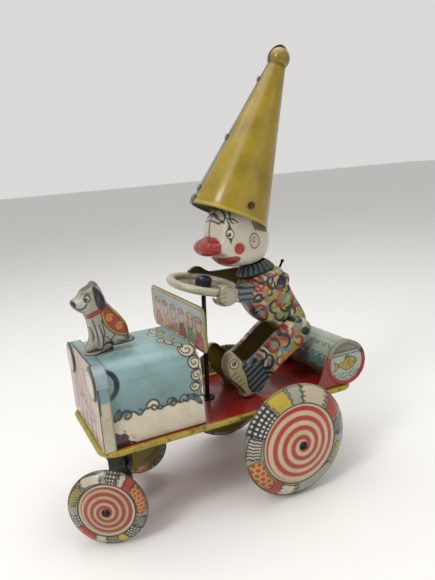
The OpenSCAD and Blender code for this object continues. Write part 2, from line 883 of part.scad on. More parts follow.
// pressed half shell of an arm, open inwards, with the fist over the rim of the steering wheel
module arm(raised) {
    translate([0, 0, lift]) difference() {
        translate([0, shoulder[0], shoulder[1]]) rotate([raised, 0, 0])
            rotate([0, 0, arm_splay]) translate([0, -shoulder[0], -shoulder[1]]) difference() {
                translate([arm_x, 0, 0]) rotate([90, 0, 90]) linear_extrude(limb_w) arm_plan();
                translate([arm_x - 1, 0, 0]) rotate([90, 0, 90])
                    linear_extrude(limb_w + 1 - sheet) offset(delta = -sheet) arm_plan();
            }
        translate([0, shoulder[0], shoulder[1]]) xcyl(0, 30, 1 + running);
    }
}

module rim_way() {
    at_steering_wheel() rotate_extrude() translate([ring_r, 0]) circle(r = ring_tube + 1);
}

module arm_left() {
    color("khaki") difference() {
        arm(0);
        rim_way();
    }
}

module arm_right() {
    color("khaki") difference() {
        other_side() arm(-9);
        rim_way();
    }
}

module at_column() {
    translate([0, column_foot[0], column_foot[1]]) rotate([-column_lean, 0, 0]) children();
}

module at_steering_wheel() {
    at_column() translate([0, 0, column_l]) rotate([column_lean - wheel_pitch, wheel_roll, 0]) children();
}

module steering_column() {
    color("dimgray") at_column() union() {
        cylinder(h = column_l - 0.6, r = column_r);
        translate([0, 0, -1.4]) cylinder(h = 1.4, r = column_r + 1.6);
    }
}

// dished steering wheel with a thick rim
module steering_wheel() {
    dish = 2;
    color("antiquewhite") difference() {
        at_steering_wheel() union() {
            rotate_extrude($fn = 72) translate([ring_r, 0]) circle(r = ring_tube);
            translate([0, 0, -dish]) cylinder(h = sheet + 0.4, r = ring_r - 0.5);
            translate([0, 0, -dish - 1.6]) cylinder(h = 1.7, r = column_r + 1.6);
        }
        column_bore();
    }
}

module column_bore() {
    at_column() cylinder(h = column_l + 0.6, r = column_r);
}

module steering_hub() {
    color("midnightblue") difference() {
        at_steering_wheel() translate([0, 0, -1]) union() {
            cylinder(h = 4.6, r = 4.8);
            translate([0, 0, 4.6]) cylinder(h = 2.4, r1 = 4.8, r2 = 2.8);
        }
        column_bore();
    }
}

// ---- head and hat ----

// head about its own upright axis, solid, before it is hollowed and halved
module head_solid(grow) {
    union() {
        sphere(r = head_r + grow);
        translate([0, 3, -5.6]) sphere(r = head_r - 2.5 + grow);
    }
}

module at_head() {
    translate([0, head_c[0], head_c[1] + lift]) children();
}

module head_half() {
    difference() {
        at_head() intersection() {
            difference() {
                union() {
                    head_solid(0);
                    nose(0);
                }
                head_solid(-sheet);
                nose(-sheet);
            }
            translate([0.05, -40, -40]) cube([40, 80, 80]);
        }
        translate([0, neck[0], neck[1] + lift]) union() {
            xcyl(-20, 20, neck_pin_r + running);
            translate([0, 0, -12]) cylinder(h = 16, r = 4);
        }
    }
}

// long blunt nose that points forwards and a little down
module nose(grow) {
    tip = 21.6;
    translate([0, -3, -5]) rotate([97, 0, 0]) union() {
        cylinder(h = tip - 4.2, r1 = 7 + grow, r2 = 4.4 + grow);
        translate([0, 0, tip - 4.2]) sphere(r = 4.4 + grow);
    }
}

module head_left() {
    color("white") head_half();
}

module head_right() {
    color("white") other_side() head_half();
}

// post on the shoulders with the cross pin that the head nods on
module neck_post() {
    color("dimgray") translate([0, neck[0], lift]) union() {
        translate([0, 0, 123.4]) cylinder(h = neck[1] + 2 - 123.4, r = 2.4);
        translate([0, 0, neck[1]]) xcyl(-8, 8, neck_pin_r);
    }
}

// bent wire end behind the neck
module neck_wire() {
    color("dimgray") translate([0, 50.3, lift + 122.2]) rotate([-31, 0, 0]) union() {
        cylinder(h = 4.8, r = 0.7);
        translate([0, 0, 4.8]) sphere(r = 1.1);
    }
}

module at_hat() {
    translate([0, hat_base[0], hat_base[1] + lift]) rotate([-hat_lean, 0, 0]) children();
}

// strip across the hat that is riveted through both halves
module hat_tie() {
    reach = hat_r - hat_wall - (hat_r - hat_top_r) * hat_tie_h / hat_l - 0.6;
    color("dimgray") at_hat() translate([0, 0, hat_tie_h]) union() {
        translate([-reach, -3, 0]) cube([2 * reach, 6, 0.8]);
        for (s = [0, 1]) {
            mirror([s, 0, 0]) union() {
                translate([reach - 0.8, -3, -4]) cube([0.8, 6, 4 + eps]);
                translate([0, 0, -2]) xcyl(reach - eps, reach + 2.4, 1);
                translate([0, 0, -2]) xcyl(reach + 2.15, reach + 3, 1.9);
            }
        }
    }
}

module hat_half(finial) {
    difference() {
        at_hat() difference() {
            union() {
                cylinder(h = hat_l, r1 = hat_r, r2 = hat_top_r, $fn = 96);
                translate([0, 0, 0.6]) rotate_extrude($fn = 96)
                    translate([hat_r - 0.5, 0]) circle(r = 0.7);
                translate([0, 0, hat_l + 3.4]) sphere(r = finial);
            }
            translate([0, 0, -eps]) cylinder(h = hat_l - 2, r1 = hat_r - hat_wall,
                r2 = hat_top_r - hat_wall, $fn = 96);
            translate([0, 0, hat_l + 3.4]) sphere(r = finial - hat_wall);
            translate([0, 0, hat_tie_h - 2]) xcyl(-40, 40, 1.02);
        }
        translate([-80 + 0.05, -100, 0]) cube([80, 300, 400]);
    }
}

module hat_left() {
    color("gold") hat_half(finial_r);
}

module hat_right() {
    color("lightslategray") other_side() hat_half(finial_r + 0.4);
}

chassis_tray();
axle_hanger_left();
axle_hanger_right();
hood_shell();
radiator_plate();
windscreen();
barrel_skin();
barrel_end_left();
barrel_end_right();
deck_bush();
hood_bush();
column_eyelet();
motor_plate_left();
motor_plate_right();
motor_pillars();
crown_bush();
mainspring();
leg_left();
leg_right();
foot_rivets();
great_wheel();
click();
winding_arbor();
ratchet_wheel();
winding_key();
crown_arbor();
crown_wheel();
train_pinion();
drive_shaft();
upper_pinion();
lower_pinion();
dog_stand();
dog_left();
dog_right();
front_yoke();
carriage_tube();
tube_clip();
front_axle();
front_wheel_left();
front_wheel_right();
axle_crown();
rear_axle();
rear_wheel_left();
rear_wheel_right();
torso_left();
torso_right();
ruff_collar();
joint_rivets();
arm_left();
arm_right();
steering_column();
steering_wheel();
steering_hub();
head_left();
head_right();
neck_post();
neck_wire();
hat_tie();
hat_left();
hat_right();
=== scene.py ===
import json
import math
import bmesh
import bpy
import numpy as np
from mathutils import Matrix, Vector
from mathutils.geometry import delaunay_2d_cdt

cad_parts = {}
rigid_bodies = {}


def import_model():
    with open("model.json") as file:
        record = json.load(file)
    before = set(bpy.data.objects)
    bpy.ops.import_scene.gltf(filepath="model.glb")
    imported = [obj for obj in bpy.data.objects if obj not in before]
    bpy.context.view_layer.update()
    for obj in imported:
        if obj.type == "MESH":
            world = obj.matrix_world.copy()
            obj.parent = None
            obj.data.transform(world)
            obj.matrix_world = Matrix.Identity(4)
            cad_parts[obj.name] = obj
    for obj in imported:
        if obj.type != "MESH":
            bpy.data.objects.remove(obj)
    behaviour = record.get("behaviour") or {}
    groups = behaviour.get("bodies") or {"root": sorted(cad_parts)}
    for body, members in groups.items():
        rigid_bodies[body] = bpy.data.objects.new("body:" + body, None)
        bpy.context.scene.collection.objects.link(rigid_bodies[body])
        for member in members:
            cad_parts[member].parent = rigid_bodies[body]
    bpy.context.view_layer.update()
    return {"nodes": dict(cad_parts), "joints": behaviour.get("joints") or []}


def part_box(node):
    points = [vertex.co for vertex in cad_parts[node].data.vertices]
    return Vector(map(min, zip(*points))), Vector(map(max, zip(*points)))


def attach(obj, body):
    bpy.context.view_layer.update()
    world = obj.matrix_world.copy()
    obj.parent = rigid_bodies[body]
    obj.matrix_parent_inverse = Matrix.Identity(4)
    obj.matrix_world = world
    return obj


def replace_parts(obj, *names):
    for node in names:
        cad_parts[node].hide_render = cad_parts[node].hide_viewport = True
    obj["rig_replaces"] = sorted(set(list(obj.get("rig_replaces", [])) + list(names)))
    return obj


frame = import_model()
MM = 0.001
PI = math.pi
FINE = 0.45  # step of the meshes, mm
SEAM_ROWS = (0.04, 0.14, 0.3)  # extra rows of points this far inside the edge of a pressed half, mm
SIDES = ((1, "left"), (-1, "right"))
rng = np.random.default_rng(7)


def span(node):
    """the node's box, in mm"""
    lo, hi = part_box(node)
    return lo * 1000.0, hi * 1000.0


def joint(name):
    return [j for j in frame["joints"] if j["name"] == name][0]


def rot(degrees, axis):
    return Matrix.Rotation(math.radians(degrees), 3, axis)


# ------------------------------------------------------------------ colours

def rgb(h):
    """a colour in light values, from hex or already in light values"""
    if not isinstance(h, str):
        return np.asarray(h, float)
    c = np.array([int(h[i:i + 2], 16) / 255 for i in (0, 2, 4)])
    return np.where(c <= 0.04045, c / 12.92, ((c + 0.055) / 1.055) ** 2.4)


CREAM, WHITE, INK, DTEAL = rgb("e4dcc6"), rgb("ece8de"), rgb("15171a"), rgb("1d3338")


# ------------------------------------------------------------------ drawing on a sheet, all in mm

def ss(d, w):
    """1 inside (d < 0), 0 outside, soft over w."""
    t = np.clip(0.5 - d / (2 * w), 0, 1)
    return t * t * (3 - 2 * t)


def disc(u, v, x, y, r):
    return np.hypot(u - x, v - y) - r


def oval(u, v, x, y, a, b, rot=0.0):
    c, s = math.cos(rot), math.sin(rot)
    p, q = (u - x) * c + (v - y) * s, -(u - x) * s + (v - y) * c
    return (np.hypot(p / a, q / b) - 1) * min(a, b)


def path(u, v, pts, closed=False):
    """distance to a line through the points"""
    pts = [np.array(p, float) for p in pts]
    if closed:
        pts = pts + [pts[0]]
    best = np.full(np.shape(u), 1e9)
    for a, b in zip(pts[:-1], pts[1:]):
        ab = b - a
        t = np.clip(((u - a[0]) * ab[0] + (v - a[1]) * ab[1]) / max(ab @ ab, 1e-9), 0, 1)
        best = np.minimum(best, np.hypot(u - a[0] - t * ab[0], v - a[1] - t * ab[1]))
    return best


def inside(u, v, pts):
    hit = np.zeros(np.shape(u), bool)
    n = len(pts)
    for i in range(n):
        (x0, y0), (x1, y1) = pts[i], pts[(i + 1) % n]
        if y0 == y1:
            continue
        cross = (v > min(y0, y1)) & (v <= max(y0, y1))
        hit ^= cross & (u < x0 + (v - y0) * (x1 - x0) / (y1 - y0))
    return hit


def area(u, v, pts):
    """signed distance to a closed outline, negative inside"""
    d = path(u, v, pts, True)
    return np.where(inside(u, v, pts), -d, d)


def smooth(pts, closed=True, step=1.0):
    """Catmull-Rom curve through the points"""
    p = np.array(pts, float)
    n = len(p)
    out = []
    for i in range(n if closed else n - 1):
        if closed:
            a, b, c, d = p[(i - 1) % n], p[i], p[(i + 1) % n], p[(i + 2) % n]
        else:
            a, b, c, d = p[max(i - 1, 0)], p[i], p[i + 1], p[min(i + 2, n - 1)]
        k = max(int(np.linalg.norm(c - b) / step), 1)
        for j in range(k):
            t = j / k
            out.append(0.5 * ((2 * b) + (c - a) * t + (2 * a - 5 * b + 4 * c - d) * t * t
                              + (3 * b - a - 3 * c + d) * t ** 3))
    if not closed:
        out.append(p[-1])
    return np.array(out)


def arc(x, y, r, a0, a1, n):
    return [(x + r * math.cos(a), y + r * math.sin(a)) for a in np.linspace(a0, a1, n)]


def curl(x, y, r, turns, start, flip=1, k=26):
    """points of a scroll that winds in to its eye at (x, y)"""
    return [(x + r * (1 - t) * math.cos(start + flip * 2 * PI * turns * t),
             y + r * (1 - t) * math.sin(start + flip * 2 * PI * turns * t))
            for t in np.linspace(0, 0.92, k)]


class Ink:
    """the lithographed picture on one sheet: a colour for every point"""

    def __init__(self, u, v, ground):
        self.u, self.v = np.asarray(u, float), np.asarray(v, float)
        self.c = np.tile(rgb(ground), (len(self.u), 1))

    def fill(self, d, colour, soft=0.22, alpha=1.0):
        m = (ss(d, soft) * alpha)[:, None]
        self.c = self.c * (1 - m) + rgb(colour) * m
        return self

    def line(self, d, width, colour=INK, soft=0.2, alpha=1.0):
        return self.fill(np.abs(d) - width / 2, colour, soft, alpha)

    def stroke(self, pts, width, colour=INK, soft=0.2):
        return self.fill(path(self.u, self.v, pts) - width / 2, colour, soft)

    def shape(self, pts, colour, outline=0.0):
        d = area(self.u, self.v, pts)
        self.fill(d, colour)
        return self.line(d, outline) if outline else self

    def seam(self, x, width=0.6):
        """dark line where a pressed half, x above its seam, meets the other"""
        return self.fill(x - width, INK, 0.35, 0.8).c


# ------------------------------------------------------------------ materials

def new_mat(name):
    m = bpy.data.materials.new(name)
    m.use_nodes = True
    t = m.node_tree
    t.nodes.clear()
    out = t.nodes.new("ShaderNodeOutputMaterial")
    b = t.nodes.new("ShaderNodeBsdfPrincipled")
    t.links.new(b.outputs[0], out.inputs[0])
    return m, t, b


def noise(t, co, scale, detail=4.0, rough=0.55, stretch=None):
    if stretch is not None:
        mp = t.nodes.new("ShaderNodeMapping")
        mp.inputs["Scale"].default_value = stretch[0]
        mp.inputs["Rotation"].default_value = stretch[1]
        t.links.new(co, mp.inputs[0])
        co = mp.outputs[0]
    n = t.nodes.new("ShaderNodeTexNoise")
    n.inputs["Scale"].default_value = scale
    n.inputs["Detail"].default_value = detail
    n.inputs["Roughness"].default_value = rough
    t.links.new(co, n.inputs["Vector"])
    return n.outputs["Fac"]


def ramp(t, fac, lo, hi, a=0.0, b=1.0):
    r = t.nodes.new("ShaderNodeMapRange")
    r.interpolation_type = "SMOOTHSTEP"
    r.inputs["From Min"].default_value = lo
    r.inputs["From Max"].default_value = hi
    r.inputs["To Min"].default_value = a
    r.inputs["To Max"].default_value = b
    t.links.new(fac, r.inputs["Value"])
    return r.outputs[0]


def mix(t, fac, a, b, mode="MIX"):
    m = t.nodes.new("ShaderNodeMix")
    m.data_type = "RGBA"
    m.blend_type = mode
    for val, i in ((fac, 0), (a, 6), (b, 7)):
        if isinstance(val, (int, float)):
            m.inputs[i].default_value = val
        elif isinstance(val, (tuple, list, np.ndarray)):
            m.inputs[i].default_value = (*[float(x) for x in val][:3], 1)
        else:
            t.links.new(val, m.inputs[i])
    return m.outputs[2]


def math_node(t, op, a, b=None):
    m = t.nodes.new("ShaderNodeMath")
    m.operation = op
    for i, val in enumerate((a, b)):
        if val is None:
            continue
        if isinstance(val, (int, float)):
            m.inputs[i].default_value = val
        else:
            t.links.new(val, m.inputs[i])
    return m.outputs[0]


def bump(t, b, height, strength, dist):
    n = t.nodes.new("ShaderNodeBump")
    n.inputs["Strength"].default_value = strength
    n.inputs["Distance"].default_value = dist
    t.links.new(height, n.inputs["Height"])
    t.links.new(n.outputs[0], b.inputs["Normal"])


def coords(t):
    return t.nodes.new("ShaderNodeTexCoord").outputs["Object"]


def tin(name, colour=None, gloss=0.3, coat=0.45, age=0.35, chips=0.5, bare=(0.30, 0.22, 0.12)):
    """lithographed tinplate: the picture on the sheet, or one colour, under aged varnish"""
    m, t, b = new_mat(name)
    co = coords(t)
    if colour is None:
        at = t.nodes.new("ShaderNodeAttribute")
        at.attribute_name = "litho"
        base = at.outputs["Color"]
    else:
        base = colour
    cloud = noise(t, co, 55, 5)
    grain = noise(t, co, 420, 3)
    stain = noise(t, co, 150, 6, 0.68)
    scratch_a = noise(t, co, 60, 4, 0.6, ((1.0, 12.0, 12.0), (0.4, 0.9, 0.3)))
    scratch_b = noise(t, co, 60, 4, 0.6, ((13.0, 1.0, 13.0), (1.1, 0.2, 0.8)))
    c = mix(t, ramp(t, cloud, 0.35, 0.75, 0.28, 0.2 + age), base, (0.42, 0.36, 0.24), "MULTIPLY")
    c = mix(t, ramp(t, grain, 0.3, 0.7, 0.0, 0.16), c, (0.62, 0.60, 0.55), "MULTIPLY")
    c = mix(t, ramp(t, stain, 0.60, 0.72, 0.0, 0.5 * age + 0.1), c, (0.20, 0.15, 0.09))
    worn = ramp(t, scratch_a, 0.665, 0.70, 0.0, chips)
    c = mix(t, worn, c, bare)
    c = mix(t, ramp(t, scratch_b, 0.68, 0.71, 0.0, chips), c, (0.13, 0.10, 0.08))
    t.links.new(c, b.inputs["Base Color"])
    ro = ramp(t, stain, 0.35, 0.75, gloss * 0.8, gloss + 0.28)
    t.links.new(math_node(t, "ADD", ro, ramp(t, grain, 0.3, 0.7, 0.0, 0.06)), b.inputs["Roughness"])
    b.inputs["Coat Weight"].default_value = coat
    b.inputs["Coat Roughness"].default_value = 0.1
    b.inputs["Specular IOR Level"].default_value = 0.4
    h = math_node(t, "SUBTRACT", math_node(t, "MULTIPLY", cloud, 0.7), math_node(t, "MULTIPLY", worn, 0.25))
    h = math_node(t, "ADD", h, math_node(t, "MULTIPLY", grain, 0.12))
    bump(t, b, h, 0.35, 0.0006)
    return m


def metal(name, colour, dark, rough=(0.3, 0.55), metallic=1.0, scale=160, rust=0.0):
    m, t, b = new_mat(name)
    co = coords(t)
    n1 = noise(t, co, scale, 6, 0.62)
    n2 = noise(t, co, scale * 4, 3)
    lin = noise(t, co, scale * 1.5, 3, 0.5, ((1.0, 1.0, 9.0), (0.2, 0.1, 0.0)))
    c = mix(t, ramp(t, n1, 0.35, 0.68), colour, dark)
    c = mix(t, ramp(t, lin, 0.4, 0.75, 0.0, 0.35), c, dark)
    if rust:
        c = mix(t, ramp(t, n2, 0.52, 0.66, 0.0, rust), c, (0.16, 0.07, 0.03))
    t.links.new(c, b.inputs["Base Color"])
    t.links.new(ramp(t, n1, 0.3, 0.7, rough[0], rough[1]), b.inputs["Roughness"])
    b.inputs["Metallic"].default_value = metallic
    bump(t, b, math_node(t, "ADD", n1, math_node(t, "MULTIPLY", n2, 0.3)), 0.3, 0.0004)
    return m


LITHO = tin("litho_sheet")
SUIT = tin("litho_suit", age=0.25, chips=0.35, gloss=0.34)
FACE = tin("litho_face", age=0.22, chips=0.3, gloss=0.3)
HAT = tin("litho_hat", gloss=0.24, age=0.55, chips=0.85, bare=(0.16, 0.10, 0.04))
INSIDE = tin("lacquer_gold", rgb("86762c"), gloss=0.34, coat=0.25, age=0.5, chips=0.4)
NAVY = tin("navy_paint", rgb("1c2638"), gloss=0.28, age=0.3, chips=0.5, bare=(0.25, 0.27, 0.30))
STEEL = metal("steel", rgb("9a9a98"), rgb("55534f"), rust=0.3)
BLACKEN = metal("dark_steel", rgb("34343a"), rgb("16151a"), (0.35, 0.6), 0.9, rust=0.35)
BRASS = metal("brass", rgb("b39653"), rgb("6d5526"), (0.28, 0.5))
SPRING = metal("spring_steel", rgb("4b4d58"), rgb("25262c"), (0.25, 0.45))
SHEET = [LITHO, INSIDE]


def deck_material():
    """red tray with its yellow rolled edge, by distance from the edge"""
    lo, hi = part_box("chassis_tray")
    hx, hy, r = hi.x, hi.y, 0.010
    red = rgb("9c1a17")
    m = tin("tray_sheet", red, gloss=0.3, age=0.5, chips=0.45)
    t = m.node_tree
    first_mix = [n for n in t.nodes if n.type == "MIX"][0]
    sep = t.nodes.new("ShaderNodeSeparateXYZ")
    t.links.new(coords(t), sep.inputs[0])
    q = [math_node(t, "MAXIMUM", math_node(t, "SUBTRACT", math_node(t, "ABSOLUTE", sep.outputs[k]), half - r), 0.0)
         for k, half in ((0, hx), (1, hy))]
    d = math_node(t, "SQRT", math_node(t, "ADD", *[math_node(t, "POWER", x, 2.0) for x in q]))
    wob = math_node(t, "MULTIPLY", noise(t, coords(t), 90, 3), 0.0007)
    edge = ramp(t, math_node(t, "ADD", d, wob), r - 0.0031, r - 0.0028)
    low = ramp(t, sep.outputs[2], lo.z + 0.0019, lo.z + 0.0016)
    yel = mix(t, ramp(t, noise(t, coords(t), 240, 5, 0.7), 0.5, 0.68), rgb("b5a01a"), rgb("5d4a1c"))
    t.links.new(mix(t, math_node(t, "MAXIMUM", edge, low), red, yel), first_mix.inputs[6])
    return m


# ------------------------------------------------------------------ meshes

def mesh_from(name, verts, faces, colours=None):
    me = bpy.data.meshes.new(name)
    me.from_pydata([[float(c) * MM for c in p] for p in verts], [], [[int(k) for k in f] for f in faces])
    if colours is not None:
        at = me.color_attributes.new("litho", "FLOAT_COLOR", "POINT")
        flat = np.ones((len(verts), 4), np.float32)
        flat[:, :3] = colours
        at.data.foreach_set("color", flat.ravel())
    me.update()
    for p in me.polygons:
        p.use_smooth = True
    return me


def piece(name, me, body, slot, mats, thick=0.0, node=None):
    """a piece on its body; its sheet is thick mm inwards from the mesh, and may stand for a CAD node"""
    ob = bpy.data.objects.new(name, me)
    bpy.context.scene.collection.objects.link(ob)
    for m in mats:
        me.materials.append(m)
    if thick:
        so = ob.modifiers.new("sheet", "SOLIDIFY")
        so.thickness = thick * MM
        so.offset = -1.0
        so.use_quality_normals = True
        if len(mats) > 1:
            so.material_offset = 1
            so.material_offset_rim = 1
        dg = bpy.context.evaluated_depsgraph_get()
        done = bpy.data.meshes.new_from_object(ob.evaluated_get(dg), depsgraph=dg)
        ob.modifiers.clear()
        ob.data = done
        done.name = name
    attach(ob, body)
    if node:
        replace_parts(ob, node)


def grid(P, C, wrap_u=False, wrap_v=False):
    """P(nu, nv, 3) in mm and C(nu, nv, 3) to verts, faces, colours"""
    nu, nv = P.shape[:2]
    ends = np.arange(nu if wrap_u else nu - 1), np.arange(nv if wrap_v else nv - 1)
    i, j = [k.ravel() for k in np.meshgrid(*ends, indexing="ij")]
    a, b = i * nv + j, ((i + 1) % nu) * nv + j
    c, d = ((i + 1) % nu) * nv + (j + 1) % nv, i * nv + (j + 1) % nv
    return P.reshape(-1, 3), np.stack([a, b, c, d], 1), C.reshape(-1, 3)


def bm_fix(me):
    bm = bmesh.new()
    bm.from_mesh(me)
    bmesh.ops.recalc_face_normals(bm, faces=bm.faces)
    bm.to_mesh(me)
    bm.free()


def closed(name, P, C, body, slot, mats, thick=0.0, node=None, wrap_u=False, wrap_v=True):
    """a piece from a grid that runs round on itself, its faces turned outwards"""
    me = mesh_from(name, *grid(P, C, wrap_u, wrap_v))
    bm_fix(me)
    piece(name, me, body, slot, mats, thick, node)


def resample(pts, step, closed=True):
    p = np.array(pts, float)
    if closed:
        p = np.vstack([p, p[:1]])
    seg = np.linalg.norm(np.diff(p, axis=0), axis=1)
    s = np.concatenate([[0], np.cumsum(seg)])
    n = max(int(s[-1] / step), 8)
    q = np.linspace(0, s[-1], n + 1)[: n if closed else n + 1]
    return np.stack([np.interp(q, s, p[:, 0]), np.interp(q, s, p[:, 1])], 1)


def sheet_fill(outline, step, rows=()):
    """points and triangles that fill a closed outline, with extra rows at these distances inside it"""
    edge = resample(outline, step)
    lo, hi = edge.min(0), edge.max(0)
    gx = np.arange(lo[0], hi[0], step)
    gy = np.arange(lo[1], hi[1], step * 0.866)
    X, Y = np.meshgrid(gx, gy)
    X = X + (np.arange(len(gy)) % 2)[:, None] * step / 2
    X, Y = X.ravel(), Y.ravel()
    d = area(X, Y, resample(outline, step * 2.5))
    keep = d < -0.55 * step - (0.3 if rows else 0.0)
    n = len(edge)
    t = np.roll(edge, -1, 0) - np.roll(edge, 1, 0)
    t /= np.linalg.norm(t, axis=1)[:, None]
    turn = 1 if np.sum(edge[:, 0] * np.roll(edge[:, 1], -1) - edge[:, 1] * np.roll(edge[:, 0], -1)) > 0 else -1
    inner = [edge + turn * r * np.stack([-t[:, 1], t[:, 0]], 1) for r in rows]
    pts = np.vstack([edge, *inner, np.stack([X[keep], Y[keep]], 1)])
    edges = [(k, (k + 1) % n) for k in range(n)]
    v, _, f, _, _, _ = delaunay_2d_cdt([Vector(p) for p in pts], edges, [], 1, 1e-4)
    v = np.array([(p.x, p.y) for p in v])
    return v, np.array([q for q in f if len(q) == 3])


def facing(v, f, way):
    """faces turned so that they look mostly that way"""
    n = np.cross(v[f[:, 1]] - v[f[:, 0]], v[f[:, 2]] - v[f[:, 0]]).sum(0)
    return f if n @ np.array(way, float) > 0 else f[:, ::-1]


def inflate(outline, v, full, flat=0.55, g=0.6):
    """height of a pressed half shell over its outline: zero at the edge, round shoulders, nearly flat top"""
    o = resample(outline, 1.5)
    lo = np.min(o, 0) - 2 * g
    hi = np.max(o, 0) + 2 * g
    X, Y = np.meshgrid(np.arange(lo[0], hi[0], g), np.arange(lo[1], hi[1], g), indexing="ij")
    m = inside(X.ravel(), Y.ravel(), o).reshape(X.shape)
    h = np.zeros(X.shape)
    for _ in range(500):
        h[1:-1, 1:-1] = 0.25 * (h[:-2, 1:-1] + h[2:, 1:-1] + h[1:-1, :-2] + h[1:-1, 2:] + 0.02)
        h[~m] = 0
    h = h / h.max()
    fx = np.clip((v[:, 0] - lo[0]) / g, 0, X.shape[0] - 1.001)
    fy = np.clip((v[:, 1] - lo[1]) / g, 0, X.shape[1] - 1.001)
    i, j = fx.astype(int), fy.astype(int)
    a, b = fx - i, fy - j
    t = (h[i, j] * (1 - a) * (1 - b) + h[i + 1, j] * a * (1 - b)
         + h[i, j + 1] * (1 - a) * b + h[i + 1, j + 1] * a * b) / flat
    d = np.maximum(-area(v[:, 0], v[:, 1], resample(outline, FINE)), 0)
    # near the edge the height follows the distance to it, at the same slope
    near = (d > 1.6) & (d < 2.6)
    slope = np.median(t[near] / d[near])
    w = np.clip((d - 0.7) / 2.2, 0, 1)
    w = w * w * (3 - 2 * w)
    t = np.clip(t * w + slope * d * (1 - w), 0, 1)
    return full * np.sqrt(np.clip(1 - (1 - t) ** 2, 0, 1))


def pressed(name, outline, x0, full, paint, body, slot, mats, node, side, flat, place=None, thick=0.45,
            cut=None, mid=0.0):
    """one pressed half of a figure: outline in (y, z), its seam at x0, bulging outwards to x0 + full"""
    v, f = sheet_fill(outline, FINE, SEAM_ROWS)
    h = inflate(outline, v, full, flat)
    col = paint(v[:, 0], v[:, 1], h)
    P = np.stack([h + x0, v[:, 0], v[:, 1]], 1)
    if place is not None:
        P = place(P)
    if side < 0:
        P[:, 0] *= -1
    if mid:
        P[:, 0] += mid
    if cut is not None:
        f = f[~cut(P[f].mean(1))]
    f = facing(P, f, (side, 0, 0))
    used = np.unique(f)
    re = -np.ones(len(P), int)
    re[used] = np.arange(len(used))
    piece(name, mesh_from(name, P[used], re[f], col[used]), body, slot, mats, thick, node)


def flat_plate(name, outline, place, paint, slot, node, thick, way, step=FINE):
    v, f = sheet_fill(outline, step)
    P = place(v)
    me = mesh_from(name, P, facing(P, f, way), paint(v[:, 0], v[:, 1]))
    piece(name, me, "chassis", slot, SHEET, thick, node)


def revolve(prof, nth, paint):
    """prof (n, 2) of (radius, height) turned about Z: points and colours (n, nth, 3)"""
    th = np.linspace(0, 2 * PI, nth, endpoint=False)
    R, H = prof[:, 0][:, None], prof[:, 1][:, None]
    P = np.stack([R * np.cos(th), R * np.sin(th), H + 0 * th], 2)
    n = len(prof)
    C = paint(np.repeat(prof[:, 0], nth), np.tile(th, n), np.repeat(np.arange(n), nth))
    return P, C.reshape(P.shape)


# ------------------------------------------------------------------ wheels

# patches printed round the tyre: from and to in degrees, and the kind
RING_A = [(-40, -5, "stitch"), (5, 24, "check"), (24, 36, "cream"), (36, 50, "red"), (50, 98, "orange"),
          (104, 124, "scribble"), (125, 150, "dots"), (150, 166, "yellow"), (166, 186, "lines"),
          (186, 207, "cream"), (207, 240, "red"), (240, 262, "check"), (280, 316, "zigzag")]
RING_B = [(8, 42, "cream"), (46, 68, "red"), (72, 94, "scribble"), (104, 126, "zigzag"), (132, 186, "ticks"),
          (190, 210, "stitch"), (210, 222, "red"), (222, 263, "orange"), (266, 290, "bars"),
          (291, 326, "check"), (328, 350, "yellow"), (-8, 6, "plain")]


